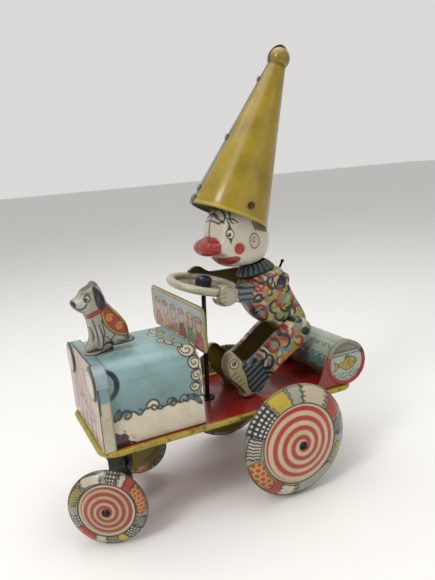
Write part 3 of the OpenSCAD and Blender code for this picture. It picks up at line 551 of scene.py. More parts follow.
def ring_art(ink, R, table):
    """patchwork printed round the tyre: ink.u is the clockwise angle, ink.v the radius"""
    r = ink.v
    mid, half = 0.855 * R, 0.125 * R
    patch = {"cream": rgb("cfc4aa"), "red": rgb("b23527"), "orange": rgb("d99248"), "yellow": rgb("cbb43c"),
             "zigzag": rgb("b8ad57"), "stitch": rgb("ded5c0"), "check": rgb("22282a"), "dots": rgb("23292a"),
             "scribble": rgb("858878"), "lines": rgb("8d8b7c"), "bars": rgb("3c4440"), "ticks": rgb("a5a697"),
             "plain": rgb("a9aa9a")}
    for a0, a1, kind in table:
        am, aw = math.radians((a0 + a1) / 2), math.radians((a1 - a0) / 2)
        da = (ink.u - am + PI) % (2 * PI) - PI
        x, y = da * mid, r - mid
        w = aw * mid
        wob = 0.35 * np.sin(y * 1.9 + a0) + 0.2 * np.sin(y * 4.1 + a1)
        if kind == "orange":
            d = np.maximum(np.abs(x + 0.25 * y) - w + 0.25 * np.abs(y), np.abs(y) - half * 0.92)
        elif kind in ("red", "yellow"):
            d = np.maximum(np.abs(x + 0.18 * y) + wob - w, np.abs(y) - half * 1.3)
        else:
            reach = 0.86 if kind in ("stitch", "zigzag", "bars") else 1.3
            d = np.maximum(np.abs(x) + wob - w, np.abs(y + 0.1 * x) - half * reach)
        ink.fill(d, patch[kind], 0.25)
        on = ss(d + 0.2, 0.2)
        cell = 0.078 * R
        if kind == "check":
            gx, gy = np.abs(x / cell % 1 - 0.5), np.abs(y / cell % 1 - 0.5)
            ink.fill(np.where(on > 0.5, (np.maximum(gx, gy) - 0.24) * cell, 9), WHITE, 0.3)
        if kind == "dots":
            gx, gy = x / cell % 1 - 0.5, (y / cell + np.floor(x / cell) * 0.5) % 1 - 0.5
            ink.fill(np.where(on > 0.5, (np.hypot(gx, gy) - 0.27) * cell, 9), WHITE, 0.3)
        if kind == "orange":
            c2 = 0.1 * R
            gx, gy = x / c2 % 1 - 0.5, (y / c2 + np.floor(x / c2) * 0.5) % 1 - 0.5
            ink.fill(np.where(on > 0.5, (np.hypot(gx, gy) - 0.31) * c2, 9), "a8481e", 0.35)
            ink.line(np.where(on > 0.5, (np.hypot(gx, gy) - 0.31) * c2, 9), 0.25, "6d2d16")
        if kind == "zigzag":
            z = np.abs((y / (0.1 * R)) % 1 - 0.5) * 0.1 * R
            ink.line(np.where(on > 0.5, ((x + z * 1.6) / (0.085 * R) % 1 - 0.5) * 0.085 * R, 9), 0.7)
        if kind in ("bars", "lines"):
            k = 0.055 * R if kind == "bars" else 0.09 * R
            ink.line(np.where(on > 0.5, ((x + 0.2 * np.sin(y * 2)) / k % 1 - 0.5) * k, 9),
                     0.5 if kind == "lines" else 0.75, "d4cdb8" if kind == "bars" else "55564b")
        if kind == "scribble":
            q = np.sin(x * 1.5 + 2 * np.sin(y * 1.1)) + np.sin(y * 2.1 + 1.7 * np.sin(x * 0.8))
            ink.line(np.where(on > 0.5, q * 0.5, 9), 0.45, "3a3f3a")
        if kind in ("stitch", "ticks", "cream"):
            edge = np.abs(np.maximum(np.abs(x) - w, -99))
            tick = (np.abs((y / (0.07 * R)) % 1 - 0.5) - 0.16) * 0.07 * R
            ink.fill(np.where(edge < 0.05 * R, tick, 9), INK, 0.2, 0.85)
        ink.line(np.where(np.abs(y) < half * 1.4, d, 9), 0.55)


def wheel_art(R, table, clean):
    red = rgb("b9301f") if clean else rgb("a13d33")
    rs = 0.7 * R
    pitch = 0.158 * R
    hub = 0.075 * R

    def paint(r, th, _):
        ink = Ink(th, r, "9b9c8b")
        ring_art(ink, R, table)
        ink.fill(r - rs, red)
        ph = (r / pitch + th / (2 * PI) + 0.02) % 1
        cream = (np.abs(ph - 0.5) - (0.235 if clean else 0.2)) * pitch
        m = r < rs - 0.4
        ink.fill(np.where(m, cream, 9), "d3c3a2" if clean else "c2ab88", 0.28)
        ink.line(r - rs + 0.75, 0.9, "cfc3a6")
        ink.line(r - rs - 0.15, 0.75)
        ink.fill(r - hub, "33302c", 0.3)
        ink.fill(R - 0.75 - r, "4d4c3e", 0.5, 0.55)
        return ink.c
    return paint


def wheel(node, body, axle, R, out, centre, table=RING_A, clean=False, turn=0.0):
    """a pressed wheel: centre on its rim plane, out its outward axis, clean if its print is fresh"""
    out, up = Vector(out).normalized(), Vector((0, 0, 1))
    right = np.array((-out).cross(up))
    out, up, c = np.array(out), np.array(up), np.array(centre, float)
    rs, ring_rise, dome = 0.7 * R, 0.147 * R, 0.245 * R
    a = np.radians(np.linspace(-205, 68, 14))
    bead = np.stack([R - 1.1 + 1.05 * np.cos(a), -0.2 + 1.05 * np.sin(a)], 1)
    s = np.linspace(0.045, 1, int(0.3 * R / FINE) + 6)
    ring = np.stack([R - (R - rs) * s, ring_rise * s + 0.05 * R * np.sin(PI * s)], 1)
    q = np.linspace(rs, 0.055 * R, int(0.65 * R / FINE) + 8)[1:]
    lip = 0.45 * np.exp(-((rs - q) / 0.9) ** 2)
    disc_h = ring_rise - 0.5 + (dome - ring_rise + 0.5) * (1 - (q / rs) ** 2) + lip
    boss = np.array([[0.052 * R, dome + 0.1], [0.045 * R, dome + 0.35]])
    prof = np.vstack([bead, ring, np.stack([q, disc_h], 1), boss])
    nth = int(2 * PI * R / (FINE * 1.1))
    P, C = revolve(prof, nth, wheel_art(R, table, clean))
    r, th, h = np.hypot(P[..., 0], P[..., 1]), np.arctan2(P[..., 1], P[..., 0]) + turn, P[..., 2]
    W = c + h[..., None] * out + (r * np.cos(th))[..., None] * up + (r * np.sin(th))[..., None] * right
    v, f, col = grid(W, C, wrap_v=True)
    me = mesh_from(node + "_pressing", v, facing(v, f, out), col)
    piece(node + "_pressing", me, body, "wheel_red", SHEET, 0.4, node)
    # hub tube behind the disc
    hub = np.array([[axle + 0.02, -1.4], [2.9, -1.4], [3.0, -1.1], [3.0, dome * 0.62], [3.3, dome * 0.78],
                    [axle + 0.02, dome * 0.8]])
    n = 40
    P, C = revolve(hub, n, lambda r, t, i: np.zeros((len(r), 3)))
    W = c + P[..., 2:3] * out + P[..., 0:1] * up + P[..., 1:2] * right
    v, f, _ = grid(W, C, wrap_v=True)
    f = np.vstack([f, [[(i + 1) % n, i, 5 * n + i, 5 * n + (i + 1) % n] for i in range(n)]])
    me = mesh_from(node + "_hub", v, f)
    bm_fix(me)
    piece(node + "_hub", me, body, "steel", [STEEL])


REAR_HALF_TRACK, FRONT_HALF_TRACK = 43.4, 33.65
REAR_AXLE_R, FRONT_AXLE_R = 1.5, 1.3
lo, hi = span("rear_wheel_left")
rear_y, rear_z, rear_r = (lo.y + hi.y) / 2, (lo.z + hi.z) / 2, (hi.z - lo.z) / 2
for (side, nm), turn in zip(SIDES, (0.0, 1.1)):
    wheel("rear_wheel_" + nm, "rear_axle_set", REAR_AXLE_R, rear_r, (side, 0, 0),
          (side * REAR_HALF_TRACK, rear_y, rear_z), RING_B, True, turn)
front_axis = Vector(joint("front_axle_spin")["axis"])
front_c = Vector(joint("front_axle_spin")["pos_m"]) * 1000
for (side, nm), turn in zip(SIDES, (0.0, 2.0)):
    wheel("front_wheel_" + nm, "front_axle_set", FRONT_AXLE_R, front_c.z, side * front_axis,
          front_c + side * front_axis * FRONT_HALF_TRACK, turn=turn)

# ------------------------------------------------------------------ bonnet

lo, hi = span("hood_shell")
HX, HY0, HY1, HZ0, HZ1, HR = hi.x, lo.y, hi.y, lo.z, hi.z, 12.0


def arch_profile(w, z0, z1, r, step):
    """points of the arch from the near foot over the top to the far foot, and the length along it"""
    seg = [(w, z0), (w, z1 - r)]
    seg += [(w - r + r * math.cos(a), z1 - r + r * math.sin(a)) for a in np.linspace(0.06, PI / 2, 24)]
    seg += [(-(w - r) - r * math.sin(a), z1 - r + r * math.cos(a)) for a in np.linspace(0, PI / 2 - 0.06, 24)]
    seg += [(-w, z1 - r), (-w, z0)]
    p = resample(seg, step, closed=False)
    s = np.concatenate([[0], np.cumsum(np.hypot(*np.diff(p, axis=0).T))])
    return p, s


def sweep(prof, Y):
    """a section in (x, z) carried along to the places Y(n, m)"""
    X, Z = [np.repeat(prof[:, k][:, None], Y.shape[1], 1) for k in (0, 1)]
    return np.stack([X, Y, Z], 2)


def scroll_wave(ink, y0, y1, base):
    """curling wave border between the upper colour and the cream below it; u runs along the car"""
    u, v = ink.u, ink.v

    def wave(y):
        return base + 1.3 * np.sin((y - y0) * 2 * PI / 12.2 + 0.5) + 0.6 * np.sin((y - y0) * 2 * PI / 5.4)
    ink.fill(v - wave(u), CREAM, 0.25)
    for k, (x, r, z) in enumerate(((13.5, 3.0, -0.6), (28, 3.6, 0.9), (38.2, 2.7, 0.2), (45, 2.0, 0.6))):
        x += y0
        ink.fill(disc(u, v, x, base + z, r * 0.92), CREAM if k % 2 else "a9b18f")
        ink.stroke(curl(x, base + z, r * 1.15, 1.35, PI * 0.9, -1), 1.1, DTEAL)
        ink.stroke([(x - r, base + z), (x - r - 2.2, base + z - 1.2), (x - r - 4.2, base + z + 0.4)], 0.9, DTEAL)
    ink.stroke([(y, wave(y)) for y in np.arange(y0, y1, 0.7)], 1.1, DTEAL)
    for x, z, a in ((4.5, -1.4, 0.5), (8.5, 0.6, 1.1), (49.5, 0.2, -0.6), (52.5, -2.0, -0.9)):
        x += y0
        d = oval(u, v, x, base + z, 3.1, 1.25, a)
        ink.fill(d, "5f7f7c").line(d, 0.6, DTEAL)
        vein = 2.6 * math.cos(a), 2.6 * math.sin(a)
        ink.stroke([(x - vein[0], base + z - vein[1]), (x + vein[0], base + z + vein[1])], 0.45, DTEAL)


def hood_paint(s, y, total):
    """s is the length from the near foot, so both sides and the top are one strip"""
    sd = np.minimum(s, total - s)
    ink = Ink(y, sd, "86aab0")
    # painted shade: the teal is darker low on the sides and lighter towards the top
    grad = np.clip((sd - 15) / 18, 0, 1)[:, None]
    ink.c = rgb("6f9092") * (1 - grad) + rgb("8db3b9") * grad
    scroll_wave(ink, HY0, HY1, 16.5)
    # scrolls and leaves up the rear edge and over the top
    e = HY1
    for back, up, r, start in ((4.4, 22.5, 2.6, 0.4), (3.0, 28.6, 3.1, 1.2), (3.4, 35.5, 3.4, 0.2),
                               (5.4, 43.5, 4.4, 2.2)):
        d = disc(ink.u, ink.v, e - back, up, r)
        ink.fill(d, CREAM).line(d, 0.8)
        ink.stroke(curl(e - back, up, r * 0.8, 1.2, start), 0.7)
    strip = ink.u - (e - 1.1 + 0.4 * np.sin(ink.v * 0.9))
    ink.fill(np.where(sd > 17, -strip, 9), CREAM, 0.25)
    ink.line(np.where(sd > 17, strip, 9), 0.6)
    for back, up, a, ln in ((8.4, 50.5, 1.9, 4.6), (10.5, 56.5, 1.5, 5.2), (9.0, 63.0, 2.3, 4.4),
                            (13.0, 62.0, 1.3, 4.0)):
        d = oval(ink.u, ink.v, e - back, up, ln, 1.9, a)
        ink.fill(d, "cfcbb2").line(d, 0.65)
        ink.fill(oval(ink.u, ink.v, e - back, up, ln * 0.45, 0.6, a), "8d9a86")
    # brown worn foot near the front
    w = disc(ink.u, ink.v, HY0 + 8, 0.5, 7.0) + 1.1 * np.sin(ink.u * 1.3) + 0.7 * np.sin(ink.v * 2.2 + ink.u)
    ink.fill(np.where(s < total / 2, w, 9), "43241f", 0.5)
    ink.line(sd - 0.2, 0.7, "5b2f22")
    # dark crescent behind each lamp
    lamp = disc(ink.u, ink.v, HY0 + 2.4, 34.0, 9.4)
    inner = disc(ink.u, ink.v, HY0 + 1.0, 34.0, 7.9)
    ink.fill(np.maximum(lamp, -inner), "14181c", 0.3)
    return ink.c


prof, s = arch_profile(HX, HZ0, HZ1, HR, FINE)
ys = np.arange(HY0, HY1 + 0.01, (HY1 - HY0) / int((HY1 - HY0) / FINE))
S, Y = np.meshgrid(s, ys, indexing="ij")
P = sweep(prof, Y)
v, f, c = grid(P, hood_paint(S.ravel(), Y.ravel(), s[-1]).reshape(P.shape))
# holes for the upright shaft and the winding arbor
mid = v[f].mean(1)
keep = ~((mid[:, 2] > HZ1 - 1) & (np.hypot(mid[:, 0], mid[:, 1] + 61.2) < 2.9))
keep &= ~((mid[:, 0] < -HX + 1) & (np.hypot(mid[:, 1] + 40.8, mid[:, 2] - 73.0) < 2.9))
me = mesh_from("bonnet", v, facing(v, f[keep], (0, 0, 1)), c)
piece("bonnet", me, "chassis", "hood_blue", SHEET, 0.5, "hood_shell")

# radiator front with its flange, and the two lamps
lo, hi = span("radiator_plate")
fy = lo.y + 1.2


def radiator_paint(x, z):
    ink = Ink(x, z - HZ0, "ddd3bf")
    # painted shade: the plate is darker towards the bottom, by the deck
    ink.c = ink.c * (1 - 0.12 * np.clip((12 - ink.v) / 12, 0, 1)[:, None])
    for cx, z0, z1, w, a in ((-19.5, 8, 27, 2.1, 0.1), (-13.0, 17, 38, 2.7, 0.12), (-8.6, 3, 22, 1.9, 0.08),
                             (-4.0, 19, 40, 2.9, 0.1), (0.6, 4, 21, 2.0, 0.04), (6.2, 16, 37, 2.8, -0.03),
                             (10.6, 2, 19, 1.9, -0.06), (15.6, 12, 27, 2.3, -0.1), (19.8, 3, 15, 1.7, -0.12)):
        m, h = (z0 + z1) / 2, (z1 - z0) / 2
        d = oval(ink.u, ink.v, cx, m, h, w, PI / 2 + a)
        ink.fill(d, "b5484a", 0.25).line(d, 0.55, "3a181c", alpha=0.9)
        ink.fill(oval(ink.u, ink.v, cx - 0.5, m + h * 0.25, h * 0.5, w * 0.36, PI / 2 + a), "cf8f86")
        ink.fill(oval(ink.u, ink.v, cx + 0.7, m - h * 0.4, h * 0.35, w * 0.32, PI / 2 + a), "2a1418", 0.3, 0.85)
        ink.fill(oval(ink.u, ink.v, cx, z0 - 0.6, 1.4, w * 0.9, PI / 2), "2a1418", 0.3, 0.7)
    ink.fill(3.5 - ink.v + 1.2 * np.sin(x * 0.5), "8a3a2c", 1.2, 0.55)
    return ink.c


w, h = hi.x - 0.05, HZ1 + 0.65
outline = [(w, HZ0 + 0.1), *arc(w - HR, h - HR, HR, 0, PI / 2, 14), *arc(HR - w, h - HR, HR, PI / 2, PI, 14),
           (-w, HZ0 + 0.1)]
flat_plate("radiator_front", outline, lambda q: np.stack([q[:, 0], np.full(len(q), fy), q[:, 1]], 1),
           radiator_paint, "litho_cream", "radiator_plate", 0.45, (0, -1, 0))


def flange_paint(sv, yv, total):
    sd = np.minimum(sv, total - sv)
    ink = Ink(yv, sd, "cfc6b0")
    ink.fill(26 - sd, "7d9fa4", 0.6)
    ink.line(yv - (HY0 + 5.2), 0.6, "6a6a5c", alpha=0.7)
    ink.line(np.where(sd > 20, yv - fy - 0.7, 9), 0.7, DTEAL)
    return ink.c


prof, s = arch_profile(w, HZ0 + 0.35, h, HR + 0.6, FINE * 1.3)
ys = np.linspace(fy + 0.05, HY0 + 5.6, 14)
S, Y = np.meshgrid(s, ys, indexing="ij")
P = sweep(prof, Y)
v, f, c = grid(P, flange_paint(S.ravel(), Y.ravel(), s[-1]).reshape(P.shape))
me = mesh_from("radiator_flange", v, facing(v, f, (0, 0, 1)), c)
piece("radiator_flange", me, "chassis", "litho_cream", SHEET, 0.3)


def lamp_art(r, th, i):
    x, z = r * np.cos(th), r * np.sin(th)
    ink = Ink(x, z, "d6cfbb")
    ink.line(r - 5.4, 0.55, "6d8f8d")
    ink.line(disc(x, z, -1.2, 1.0, 3.0), 0.4, "9fb0a4")
    ink.fill(np.maximum(r - 9.2, 7.1 - r - 0.9 * np.clip(np.sin(th + 0.6), 0, 1)), "1b1d1f", 0.25)
    k = np.sin(th * 9 + r * 2.2)
    ink.fill(np.where((r > 6.9) & (r < 8.9), (k - 0.35) * -0.8 + 1.3, 9), "b8b4a2", 0.5, 0.6)
    band = i > np.max(i) - 7
    ink.c[band] = rgb("9fb2c0")
    return ink.c


for side, nm in SIDES:
    cx, cz, rl = side * (HX - 6.0), HZ1 - 8.9, 9.0
    q = np.linspace(0.01, 8.3, 22)
    face = np.stack([q, 0.9 * np.sqrt(np.clip(1 - (q / 9.4) ** 2, 0, 1)) + 0.25], 1)
    a = np.linspace(PI * 0.62, -0.2, 7)
    rim = np.stack([rl - 0.45 + 0.5 * np.cos(a), 0.15 + 0.5 * np.sin(a)], 1)
    band = np.stack([np.full(7, rl), np.linspace(-0.4, -6.6, 7)], 1)
    prof = np.vstack([face, rim, band])
    P, C = revolve(prof, 96, lamp_art)
    W = np.stack([cx + P[..., 0], fy - 0.05 - P[..., 2], cz + P[..., 1]], 2)
    closed("lamp_" + nm, W, C, "chassis", "litho_cream", SHEET, 0.3)

# ------------------------------------------------------------------ windscreen

lo, hi = span("windscreen")
wx, wz0, wz1, wy = hi.x, hi.z - 24.8, hi.z, hi.y - 0.75
WR = 5  # its corners


def screen_front(x, z):
    u, v = x, z - wz0
    W, H = wx, wz1 - wz0
    ink = Ink(u, v, "a3aaa8")
    ink.fill(0.9 * np.sin(u * 0.35) + v - 8.5, "b7b09a", 1.2)
    cols = (rgb("b4564a"), rgb("c9a13a"), rgb("b98a86"), rgb("a43a33"), rgb("7f8f5a"))
    for k, cx in enumerate((-30, -17.5, -5, 7.5, 20, 31)):
        body = [(-4.6, 0.6), (-4.2, 7), (-2.2, 10.4), (2.4, 10.6), (4.6, 7.2), (5, 0.6)]
        ink.shape(smooth([(cx + x, z) for x, z in body]), cols[k % 5], 0.55)
        folds = np.where(np.abs(u - cx) < 4.4, (u - cx + 0.6 * np.sin(v)) % 2.4 - 1.2, 9) + np.where(v > 8.6, 9, 0)
        ink.line(folds, 0.35, "4a2a22")
        d = oval(u, v, cx, 13.4, 3.7, 3.9)
        ink.fill(d, "cfa394").line(d, 0.6)
        hat = oval(u, v, cx, 16.8, 4.0, 1.6)
        ink.fill(hat, cols[(k + 2) % 5]).line(hat, 0.5)
        ink.fill(disc(u, v, cx + 3.8, 9.4, 1.2), "c4b64e")
    edge = np.minimum(W - np.abs(u), H - v)
    rr = np.hypot(np.maximum(np.abs(u) - (W - WR), 0), np.maximum(v - (H - WR), 0)) - WR
    edge = np.minimum(edge, np.where((np.abs(u) > W - WR) & (v > H - WR), -rr, 99))
    ink.fill(edge - 1.9, "c5ad3a", 0.25)
    ink.line(edge - 1.95, 0.45)
    ink.line(edge - 0.25, 0.6)
    ink.line(v - 0.5, 0.7)
    return ink.c


outline = [*arc(wx - WR, wz0 + WR, WR, -PI / 2, 0, 8), *arc(wx - WR, wz1 - WR, WR, 0, PI / 2, 10),
           *arc(WR - wx, wz1 - WR, WR, PI / 2, PI, 10), *arc(WR - wx, wz0 + WR, WR, PI, 1.5 * PI, 8)]
flat_plate("windscreen_plate", outline, lambda q: np.stack([q[:, 0], np.full(len(q), wy), q[:, 1]], 1), screen_front,
           "litho_cream", "windscreen", 0.6, (0, -1, 0))

# ------------------------------------------------------------------ barrel

lo, hi = span("barrel_end_left")
BR, BX1 = (hi.z - lo.z) / 2, hi.x
BZ, BY = hi.z - BR, hi.y - BR


def barrel_paint(a, x):
    """a: angle over the top from the front, in degrees"""
    u, v = x, a
    ink = Ink(u, v * BR * PI / 180, "a3b0a4")
    s0 = ink.v
    ink.fill(s0 - 17 - 1.0 * np.sin(u * 0.9), "5f8583", 0.6)
    ink.line(s0 - 17 - 1.0 * np.abs(np.sin(u * 0.7)) * 1.6, 0.7, DTEAL)
    shore = s0 - 9.5 - 0.8 * np.sin(u * 0.5)
    ink.fill(shore, "5a5233", 0.8).line(shore, 0.6, "2c3a2c")
    for cx in np.arange(-28, 30, 6.3):
        ink.stroke(curl(cx, 25.5 + 0.6 * math.sin(cx), 1.9, 1.1, cx), 0.6, "31503f")
        ink.stroke([(cx - 3.2, 26), (cx - 1.5, 24.6)], 0.6, "31503f")
    ink.stroke([(-34, 29.5), (34, 29.5)], 0.5, "6f7f70")
    return ink.c


nx = int(2 * BX1 / FINE)
xs = np.linspace(-BX1 + 0.4, BX1 - 0.4, nx)
an = np.linspace(0, 2 * PI, int(2 * PI * BR / FINE), endpoint=False)
A, Xg = np.meshgrid(an, xs, indexing="ij")
# 0 degrees is the lowest front side, going up over the top to the back
rr = BR - 0.55
P = np.stack([Xg, BY - rr * np.cos(A - 0.9), BZ + rr * np.sin(A - 0.9)], 2)
C = barrel_paint(np.degrees(A.ravel()), Xg.ravel()).reshape(P.shape)
closed("barrel_tube", P, C, "chassis", "barrel_green", SHEET, 0.4, "barrel_skin", wrap_u=True, wrap_v=False)


def end_paint(y, z):
    u, v = y - BY, z - BZ
    r = np.hypot(u, v)
    ink = Ink(u, v, "b3bdb2")
    ink.fill(4.6 - v + 0.25 * np.sin(u * 3), "8c8c78", 0.3)
    ink.line(v - 9.2 + 0.02 * u * u, 0.35, "6f715f")
    w1 = v - 6.9 - 0.45 * np.abs(np.sin(u * 1.1))
    ink.line(w1, 0.75, DTEAL)
    ink.line(v - 4.9 - 0.45 * np.abs(np.sin(u * 1.1 + 0.7)), 0.7, DTEAL)
    ink.fill(np.abs(v - 5.9) - 0.6, "aab5a8", 0.25, 0.8)
    water = np.sin(u * 1.1 + 2 * np.sin(v * 0.9))
    ink.line(np.where((v < -5.2) & (v > -10.8), (v + 7.8 + 0.5 * water) % 1.9 - 0.95, 9), 0.6, "3d6f74")
    fish = smooth([(-6.6, -0.6), (-4.0, -2.8), (-0.6, -4.6), (3.2, -4.3), (6.6, -1.9), (7.9, -0.4), (6.9, 1.2),
                   (3.8, 3.0), (0.6, 2.9), (-2.6, 0.6)])
    tail = [(-4.6, -1.4), (-9.0, 1.7), (-8.4, -1.6), (-9.2, -4.7)]
    ink.shape(tail, "b9a13a", 0.45)
    ink.shape(fish, "bfa02c", 0.5)
    scales = disc((u * 1.2) % 1.5 - 0.75, (v * 1.2 + np.floor(u * 0.8)) % 1.5 - 0.75, 0, 0, 0.42)
    ink.fill(np.where(inside(u, v, fish), scales, 9), "8a6f1e", 0.3)
    ink.stroke([(2.2, 2.2), (1.4, 0.2), (2.4, -2.6)], 0.5)
    ink.stroke([(7.2, -0.5), (4.8, -1.2)], 0.45)
    ink.shape([(-1.6, 2.6), (0.2, 4.4), (3.2, 3.2)], "7d6a22", 0.4)
    eye = disc(u, v, 4.7, 1.2, 0.9)
    ink.fill(eye, WHITE).line(eye, 0.35).fill(disc(u, v, 4.9, 1.2, 0.35), INK)
    ink.fill(11.3 - r, "a8271e", 0.25)
    ink.fill(np.where(v > 5.2, 11.0 - r, 9), "8c8c78", 0.3)
    ink.line(np.where(v > 5.0, r - 11.2, 9), 0.5, "32362e")
    ink.fill(disc(u, v, 11.6, 5.6, 1.9), "33302b", 0.3)
    return ink.c


def cheek_paint(y, z):
    ink = Ink(y - BY, z - BZ, "a3231c")
    # painted shade: the red is darker towards the deck, under the barrel
    ink.fill(ink.v + 12 - 0.1 * ink.u, "84201a", 2.5)
    return ink.c


BAND = 4.4  # width of the band round each end
CAP = arc(BY, BZ, BR, 0, 2 * PI, 73)[:-1]
for side, nm in SIDES:
    def put(q, side=side):
        r = np.hypot(q[:, 0] - BY, q[:, 1] - BZ)
        x = np.where(r > BR - 0.25, BX1 - 0.5, BX1 - 0.9 * ss(r - (BR - 1.5), 0.5))
        return np.stack([side * x, q[:, 0], q[:, 1]], 1)

    def put_cheek(q, side=side):
        return np.stack([np.full(len(q), side * (BX1 - 1.0)), q[:, 0], q[:, 1]], 1)
    flat_plate("barrel_cap_" + nm, CAP, put, end_paint, "barrel_green", "barrel_end_" + nm, 0.4, (side, 0, 0))
    a = np.linspace(0, 2 * PI, 96, endpoint=False)
    A, Xr = np.meshgrid(a, np.linspace(BX1 - 0.5, BX1 - BAND, 8), indexing="ij")
    P = np.stack([side * Xr, BY + BR * np.cos(A), BZ + BR * np.sin(A)], 2)
    ru = ss(np.abs(Xr - BX1 + 2.3) - 0.35, 0.3)[..., None]
    C = np.tile(rgb("9b9e8f"), (*A.shape, 1)) * (1 - ru) + rgb("5b5e50") * ru
    back = ((A > 4.2) | (A < 0.5))[..., None]
    C = np.where(back, rgb("a8271e"), C)
    closed("barrel_band_" + nm, P, C, "chassis", "barrel_green", SHEET, 0.35, wrap_u=True, wrap_v=False)
    # red side cheek that stands the barrel on the deck
    z0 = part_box("barrel_end_left")[0].z * 1000
    cheek = smooth([(BY - 24, z0), (BY - 6, z0), (BY + 2, z0 + 0.5), (BY - 9, BZ - 9.5), (BY - 12.0, BZ - 2),
                    (BY - 12.6, BZ + 5), (BY - 14.4, BZ + 6), (BY - 16.5, BZ - 0.5), (BY - 20, z0 + 5)])
    cheek[:, 1] = np.maximum(cheek[:, 1], z0)
    flat_plate("barrel_cheek_" + nm, cheek, put_cheek, cheek_paint, "deck_red", None, 0.5, (side, 0, 0), FINE * 1.6)

# ------------------------------------------------------------------ dog

dog_x = span("dog_left")[0].x
DOG = smooth([(-73.2, 96.7), (-72.9, 98.8), (-70.9, 102.2), (-70.2, 105.6), (-70.8, 113.0), (-72.2, 117.1),
              (-75.2, 119.2), (-76.9, 121.2), (-77.7, 123.4), (-76.6, 125.1), (-74.0, 126.6), (-71.4, 129.8),
              (-67.9, 131.4), (-65.6, 133.4), (-63.2, 132.4), (-61.6, 129.4), (-60.3, 125.9), (-59.0, 121.5),
              (-56.5, 118.0), (-52.9, 113.4), (-49.8, 107.8), (-48.9, 101.9), (-46.6, 100.2), (-46.9, 98.2),
              (-49.6, 97.5), (-58.4, 97.3), (-60.6, 98.8), (-62.8, 98.4), (-64.3, 96.9), (-67.2, 96.8),
              (-68.6, 97.6), (-70.4, 96.6)], step=0.8)


def dog_paint(y, z, h):
    ink = Ink(y, z, "a8a79b")
    ink.fill(oval(y, z, -66.6, 104, 1.6, 6.5, 0.1), "c2c0b2", 1.0)
    # hatching on chest, leg and belly
    for (a, b) in (((-68.5, 114), (-66.8, 100)), ((-65.6, 111), (-64.2, 100)), ((-62.5, 104), (-59.0, 99.5)),
                   ((-57, 101), (-52.5, 99.5)),
                   ((-69.9, 110), (-69.2, 103)), ((-54.5, 103.8), (-51.2, 100.6))):
        ink.stroke([a, ((a[0] + b[0]) / 2 + 0.5, (a[1] + b[1]) / 2), b], 0.7, "2d2e2d", 0.35)
        ink.stroke([(a[0] + 0.9, a[1] - 2.5), (b[0] + 0.9, b[1] + 1.5)], 0.35, "4d4e49")
    # legs and feet
    ink.stroke([(-63.9, 113), (-63.0, 106), (-64.6, 101), (-64.4, 97)], 0.7)
    ink.stroke([(-58.6, 97.6), (-60.2, 101.5), (-57.0, 105.5), (-52.6, 104.6), (-50.4, 101)], 0.65)
    ink.fill(np.where((y < -60) & (y > -63.6), z - 101.5, 9), "232426", 0.6)
    for k in range(3):
        ink.stroke([(-72.6 + k * 1.3, 97.0), (-72.2 + k * 1.3, 98.5)], 0.4)
        ink.stroke([(-57.6 + k * 1.5, 97.5), (-57.2 + k * 1.5, 98.7)], 0.4)
    ink.fill(oval(y, z, -47.2, 99.1, 1.3, 1.5), INK, 0.4)
    # blanket
    d = area(y, z, smooth([(-63.6, 117.6), (-60.6, 119.2), (-58.4, 120.0), (-53.6, 113.6), (-49.6, 107.4),
                           (-49.4, 104.0), (-52.8, 103.0), (-57.6, 104.6), (-61.4, 108.6), (-63.2, 112.6)]))
    ink.fill(d, "b8992c").line(d, 0.6)
    ink.fill(d + 1.35, "a8321f").line(d + 1.3, 0.35)
    for cx, cz, r in ((-59.6, 113.6, 2.1), (-54.8, 108.4, 2.2)):
        ink.stroke(curl(cx, cz, r, 1.5, 0.6), 0.6, "d0ae3c")
    # collar
    for width, colour in ((2.5, INK), (1.6, "b02a20")):
        ink.stroke([(-71.6, 115.6), (-66.0, 117.6), (-60.0, 119.8)], width, colour)
    # head: ear, eye, nose, mouth
    ink.fill(np.hypot((y + 73.4) / 4.0, (z - 122.8) / 3.0) - 1, "cfccbd", 0.5)
    ink.fill(oval(y, z, -74.4, 118.4, 2.6, 1.6, -0.5), "55544e", 0.9, 0.85)
    ink.fill(oval(y, z, -69.2, 131.2, 3.4, 1.4, 0.5), "3c3b38", 0.8, 0.9)
    ink.fill(oval(y, z, -53.5, 99.0, 4.5, 1.2), "4a4945", 0.8, 0.8)
    ear = smooth([(-66.4, 131.4), (-63.6, 129.6), (-61.0, 124.5), (-61.2, 119.4), (-63.6, 118.4), (-65.6, 121.4),
                  (-66.2, 126)])
    ink.shape(ear, "17181a")
    ink.fill(oval(y, z, -64.2, 124.5, 0.5, 3.0, -0.15), "4b4d50", 0.4)
    e = oval(y, z, -69.9, 125.6, 1.45, 1.75)
    ink.fill(e, WHITE).line(e, 0.7).fill(disc(y, z, -70.3, 125.3, 0.85), INK)
    ink.stroke([(-71.8, 128.0), (-69.8, 128.6), (-68.2, 127.8)], 0.5)
    ink.fill(oval(y, z, -77.0, 123.0, 1.5, 2.2), INK, 0.4)
    ink.stroke([(-76.6, 121.6), (-73.8, 120.4), (-71.4, 121.4), (-70.5, 122.6)], 0.9)
    for py, pz in ((-74.6, 122.2), (-73.4, 122.9), (-73.6, 121.8)):
        ink.fill(disc(y, z, py, pz, 0.22), INK, 0.12)
    ink.fill(oval(y, z, -64.6, 132.6, 1.8, 1.2), "5a5048")
    ink.fill(h - 0.45, INK, 0.3, 0.8)
    return ink.c


for side, nm in SIDES:
    pressed("dog_shell_" + nm, DOG, 0.05, 5.4, dog_paint, "upright_shaft", "dog_white", [FACE, INSIDE], "dog_" + nm,
            side, 0.5, thick=0.35, mid=dog_x)


# ------------------------------------------------------------------ the driver's suit

# rings strewn over the suit: y, z, radius, start, sweep, and whether red
RINGS = [(rng.uniform(-8, 68), rng.uniform(50, 130), rng.uniform(2.6, 4.3), rng.uniform(0, 6.28), rng.uniform(2.4, 6.3),
          k % 5 < 2) for k in range(120)]


